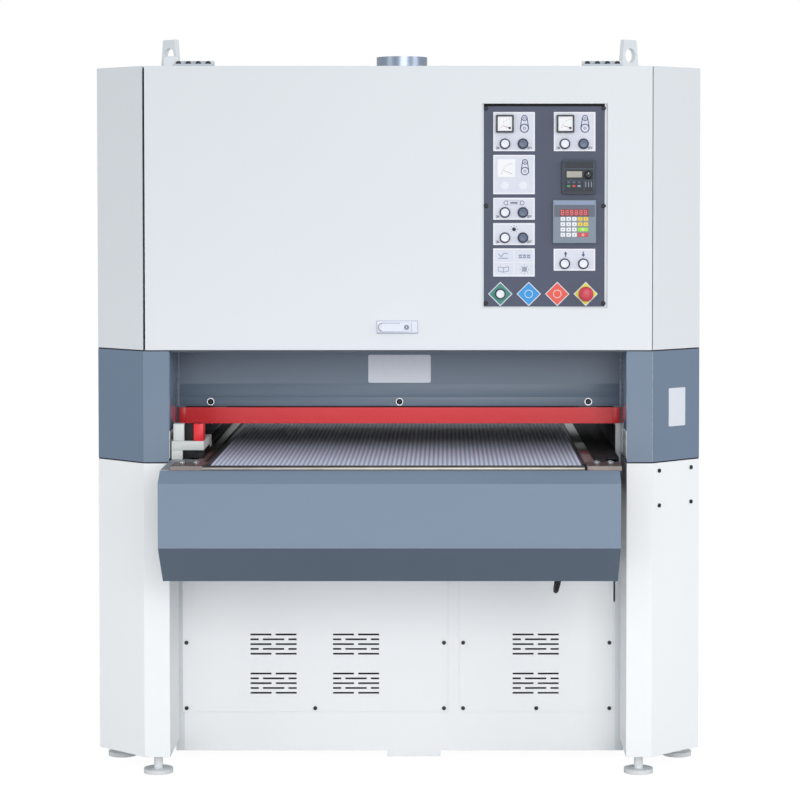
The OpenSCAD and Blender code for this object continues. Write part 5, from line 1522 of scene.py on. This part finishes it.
for k in range(9):
    a = math.radians(-45 + 270 * k / 8)
    marks.prism(spoke(knob_x, knob_z, a, 12.6, 14.6, 0.9), PAD_Y + 0.6, PAD_Y + 0.9)
marks.done("keypad_scale_marks", "door", "keypad_dark", INKS["white"])
print("knob flutes:", KNOB_POINTS // 4)

# %% [markdown]
# The position display shows how thick the board comes out. Six red seven-segment digits glow behind
# a dark red window, and below it are keys for numbers, set, start and stop. All seven strokes of each
# digit are lit, as when such a display tests itself, so no measure is claimed.

# %% Position display: case, bands and digits
SHOW_LOW, SHOW_HIGH = mm_box("position_display")
SHOW_Y = SHOW_LOW.y
DIGITS = 6
DIGIT_H = 12.0


def show_x(s):
    return SHOW_LOW.x + s * (SHOW_HIGH.x - SHOW_LOW.x)


def show_z(s):
    return SHOW_LOW.z + s * (SHOW_HIGH.z - SHOW_LOW.z)


def show_film(name, x0, x1, z0, z1, radius, proud, mat):
    """A film stuck on the display's face. Its sides are shares of the face."""
    film = Form()
    film.raised(show_x(x0), show_x(x1), show_z(z0), show_z(z1), radius, SHOW_Y - proud, SHOW_Y, 0.1)
    film.done(name, "door", "display_grey", mat)


def glowing(name, code, strength):
    """A lit segment. It gives off its own light, weaker than the room's."""
    mat, shader, _ = new_material(name)
    fill(shader, {"Base Color": linear(code), "Emission Color": linear(code),
                  "Emission Strength": strength, "Roughness": 0.3})
    return mat


def digit(form, x, z, height, y0, y1):
    """One seven-segment digit with all its strokes, centred on a place."""
    h = height / 2
    w = height * 0.25
    strokes = ((-w, h, w, h), (w, h, w, 0), (w, 0, w, -h), (-w, -h, w, -h),
               (-w, 0, -w, -h), (-w, h, -w, 0), (-w, 0, w, 0))
    for ax, az, bx, bz in strokes:
        form.prism(stroke(x + ax, z + az, x + bx, z + bz, height * 0.11), y0, y1)


case = Form()
case.raised(SHOW_LOW.x, SHOW_HIGH.x, SHOW_LOW.z, SHOW_HIGH.z, 3.0, SHOW_Y, METER_BACK + 2, 1.0)
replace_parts(case.done("position_display_case", "door", "display_grey"), "position_display")
show_film("position_display_title_strip", 0.03, 0.97, 0.89, 0.985, 1.5, 0.2,
          moulded("title_film_pale_blue", "#8FA0BA", 0.45))
show_film("position_display_band", 0.03, 0.97, 0.61, 0.885, 1.5, 0.2,
          moulded("band_film_slate", "#646C7C", 0.45))
show_film("position_display_window", 0.165, 0.828, 0.628, 0.79, 1.0, 0.5,
          moulded("display_window_red", "#7E2A38", 0.15))
digits = Form()
for k in range(DIGITS):
    digit(digits, show_x(0.22 + 0.107 * k), show_z(0.709), DIGIT_H, SHOW_Y - 0.7, SHOW_Y - 0.5)
digits.done("position_display_digits", "door", "display_grey", glowing("lit_segment", "#E2605A", 0.55))
print("display digits:", DIGITS)

# %% Position display: keys
SHOW_ROWS = 4
WIDE_KEY = {2: "lime", 3: "red"}
show_keys = {colour: Form() for colour in ("white", "yellow", "lime", "red")}
dots = Form()
show_marks = Form()


def show_key(colour, x, z, half_w, half_h):
    """Adds one key to the set of its colour."""
    show_keys[colour].raised(x - half_w, x + half_w, z - half_h, z + half_h, 1.6, SHOW_Y - 0.9,
                             SHOW_Y, 0.4)


def dotted_key(colour, x, z, half_h):
    """Adds a square key with a printed dot for its number."""
    show_key(colour, x, z, 6.4, half_h)
    dots.prism(disc(x, z, 1.5, 12), SHOW_Y - 1.0, SHOW_Y - 0.9)


for row in range(SHOW_ROWS):
    z = show_z(0.562 - 0.122 * row)
    for column in range(3):
        dotted_key("white", show_x(0.23 + 0.1335 * column), z, 5.4)
    if row in WIDE_KEY:
        show_marks.ring(show_x(0.696), z, 2.2, 3.4, SHOW_Y - 1.0, SHOW_Y - 0.9, 20)
        show_key(WIDE_KEY[row], show_x(0.696), z, 14.2, 5.4)
    else:
        for column in range(2):
            dotted_key("yellow", show_x(0.63 + 0.132 * column), z, 5.2)
for colour, form in show_keys.items():
    form.done("position_display_keys_" + colour, "door", "display_grey", KEYS[colour])
show_marks.done("position_display_ring_marks", "door", "display_grey", INKS["white"])
dots.done("position_display_key_marks", "door", "display_grey", INKS["blue"])
print("display key colours:", sorted(show_keys))

# %% [markdown]
# A few plain pieces are left: a moulded junction box on the roof beside the left lug, and a blank
# plate on the chamfer of the right band. Behind the vents hangs a black screen that paints the shade
# inside the machine, so nothing of the inside shows.

# %% Roof box, blank plate and vent screens
ROOF_Z = mm_box("upper_covers")[1].z
CHAMFER_START, CHAMFER_END = Vector((692.0, COLUMN_Y)), Vector((832.0, -520.0))
VENT_Z = (150, 540)
roof_box = Form()
roof_box.raised(-661, -618, ROOF_Z, ROOF_Z + 40, 6.0, -420, -392, 3.0)
roof_box.done("roof_junction_box", "machine", "cover_white", bevel=0.8)
run = (CHAMFER_END - CHAMFER_START).normalized()
out = Vector((run.y, -run.x))
loops = []
for lift, inset in ((1.4, 0.6), (0.9, 0.0), (-0.2, 0.0)):
    loop = []
    for along, z in rounded_rect(65 + inset, 132 - inset, 953 + inset, 1058 - inset, 3.0):
        spot = CHAMFER_START + run * along + out * lift
        loop.append((spot.x, spot.y, z))
    loops.append(loop)
blank = Form()
blank.loft(loops)
blank.done("band_blank_plate", "machine", "cover_grey", moulded("blank_plate_pale", "#E6EAF2", 0.4))
# Painted shade: a black sheet behind the vents.
barwork("vent_shade_screens", "machine", "cover_white", {
    f"screen from {x[0]}": (x, (-404, -402), VENT_Z, 0.5) for x in ((-560, 90), (230, 560))
}, SCREEN_BLACK)
print("roof box on z", round(ROOF_Z))

# %% [markdown]
# The picture is taken from well back with a long lens, a little below the roof and to the right of
# the middle, so the verticals stay straight and the sides nearly vanish. The lens and its shift were
# found by fitting named points of the machine to their places in the photograph.

# %% Camera
EYE = Vector((129.8, -7353.7, 1567.6)) * MM
PITCH = math.radians(2.0)
camera_data = bpy.data.cameras.new("camera")
camera_data.lens = 111.28
camera_data.sensor_width = 36.0
camera_data.shift_x = -0.0571
camera_data.shift_y = -0.1398
camera = in_scene("camera", camera_data)
camera.location = EYE
camera.rotation_euler = (math.radians(90) - PITCH, 0.0, 0.0)
bpy.context.scene.camera = camera
bpy.context.scene.view_settings.view_transform = "Standard"
print("camera at", [round(v, 2) for v in camera.location])

# %% [markdown]
# Such machines are photographed on a white sweep under large soft boxes, and the light here is the
# same: a bright room all round, a big soft box high at the front, weaker ones at the left and the
# right, and a narrow one low down that fills the shade under the table.


# %% Floor
def floor_material():
    """A white sweep. The camera sees it near white, and it still takes a faint shadow."""
    mat, shader, _ = new_material("white_sweep")
    fill(shader, {"Base Color": linear("#BCBCBC"), "Roughness": 0.9})
    glow = add(mat, "Emission", (0, -200), None, {"Color": linear("#FFFFFF"), "Strength": 1.1})
    path = add(mat, "LightPath", (-300, 400))
    part = add(mat, "Math", (-100, 400), {"operation": "MULTIPLY"},
               {0: path.outputs["Is Camera Ray"], 1: 0.88})
    mixed = add(mat, "MixShader", (250, 0), None,
                {"Fac": part.outputs["Value"], 1: shader.outputs["BSDF"], 2: glow.outputs["Emission"]})
    fill(mat.node_tree.nodes["Material Output"], {"Surface": mixed.outputs["Shader"]})
    return mat


def sweep(half_width, front, back):
    """The floor, as a wide sheet under the feet."""
    mesh = bpy.data.meshes.new("floor")
    corners = [(-half_width, front, 0), (half_width, front, 0), (half_width, back, 0),
               (-half_width, back, 0)]
    mesh.from_pydata(corners, [], [(0, 1, 2, 3)])
    mesh.materials.append(floor_material())
    in_scene("floor", mesh)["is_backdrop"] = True


sweep(60.0, -40.0, 60.0)


# %% Room and lamps
def soft_box(name, at, towards, width, height, watts, spread=180.0):
    """A large rectangular light that faces a point. The camera doesn't see the lamp itself."""
    data = bpy.data.lights.new(name, "AREA")
    data.shape = "RECTANGLE"
    data.size = width
    data.size_y = height
    data.energy = watts
    data.spread = math.radians(spread)
    obj = in_scene(name, data)
    obj.location = at
    obj.visible_camera = False
    obj.rotation_euler = (Vector(towards) - Vector(at)).to_track_quat("-Z", "Y").to_euler()
    return obj


def white_room():
    """The room's even light. The camera itself sees plain white, for the white background."""
    world = bpy.data.worlds.new("white_room")
    bpy.context.scene.world = world
    world.use_nodes = True
    world.node_tree.nodes.clear()
    light = add(world, "Background", (0, 0), None, {"Color": linear("#F7FAFF"), "Strength": 0.66})
    seen = add(world, "Background", (0, -200), None, {"Color": linear("#FFFFFF")})
    path = add(world, "LightPath", (-200, 300))
    mixed = add(world, "MixShader", (250, 0), None,
                {"Fac": path.outputs["Is Camera Ray"], 1: light.outputs["Background"],
                 2: seen.outputs["Background"]})
    add(world, "OutputWorld", (450, 0), None, {"Surface": mixed.outputs["Shader"]})


white_room()
lamps = [
    soft_box("key", (1.5, -8.6, 3.0), (0.0, 0.0, 0.9), 4.5, 3.0, 184.0),
    soft_box("low_front", (-0.2, -3.6, 0.45), (0.0, -0.4, 0.3), 4.0, 0.5, 4.3, 70.0),
    soft_box("left", (-6.0, -4.0, 1.6), (-0.4, 0.0, 1.0), 2.5, 3.0, 40.0),
    soft_box("side", (6.0, -3.0, 2.4), (0.4, 0.0, 1.1), 2.5, 3.0, 55.0),
]
print("lamps:", [(lamp.name, round(lamp.data.energy, 1)) for lamp in lamps])

# %% Size of the scene
low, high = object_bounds()
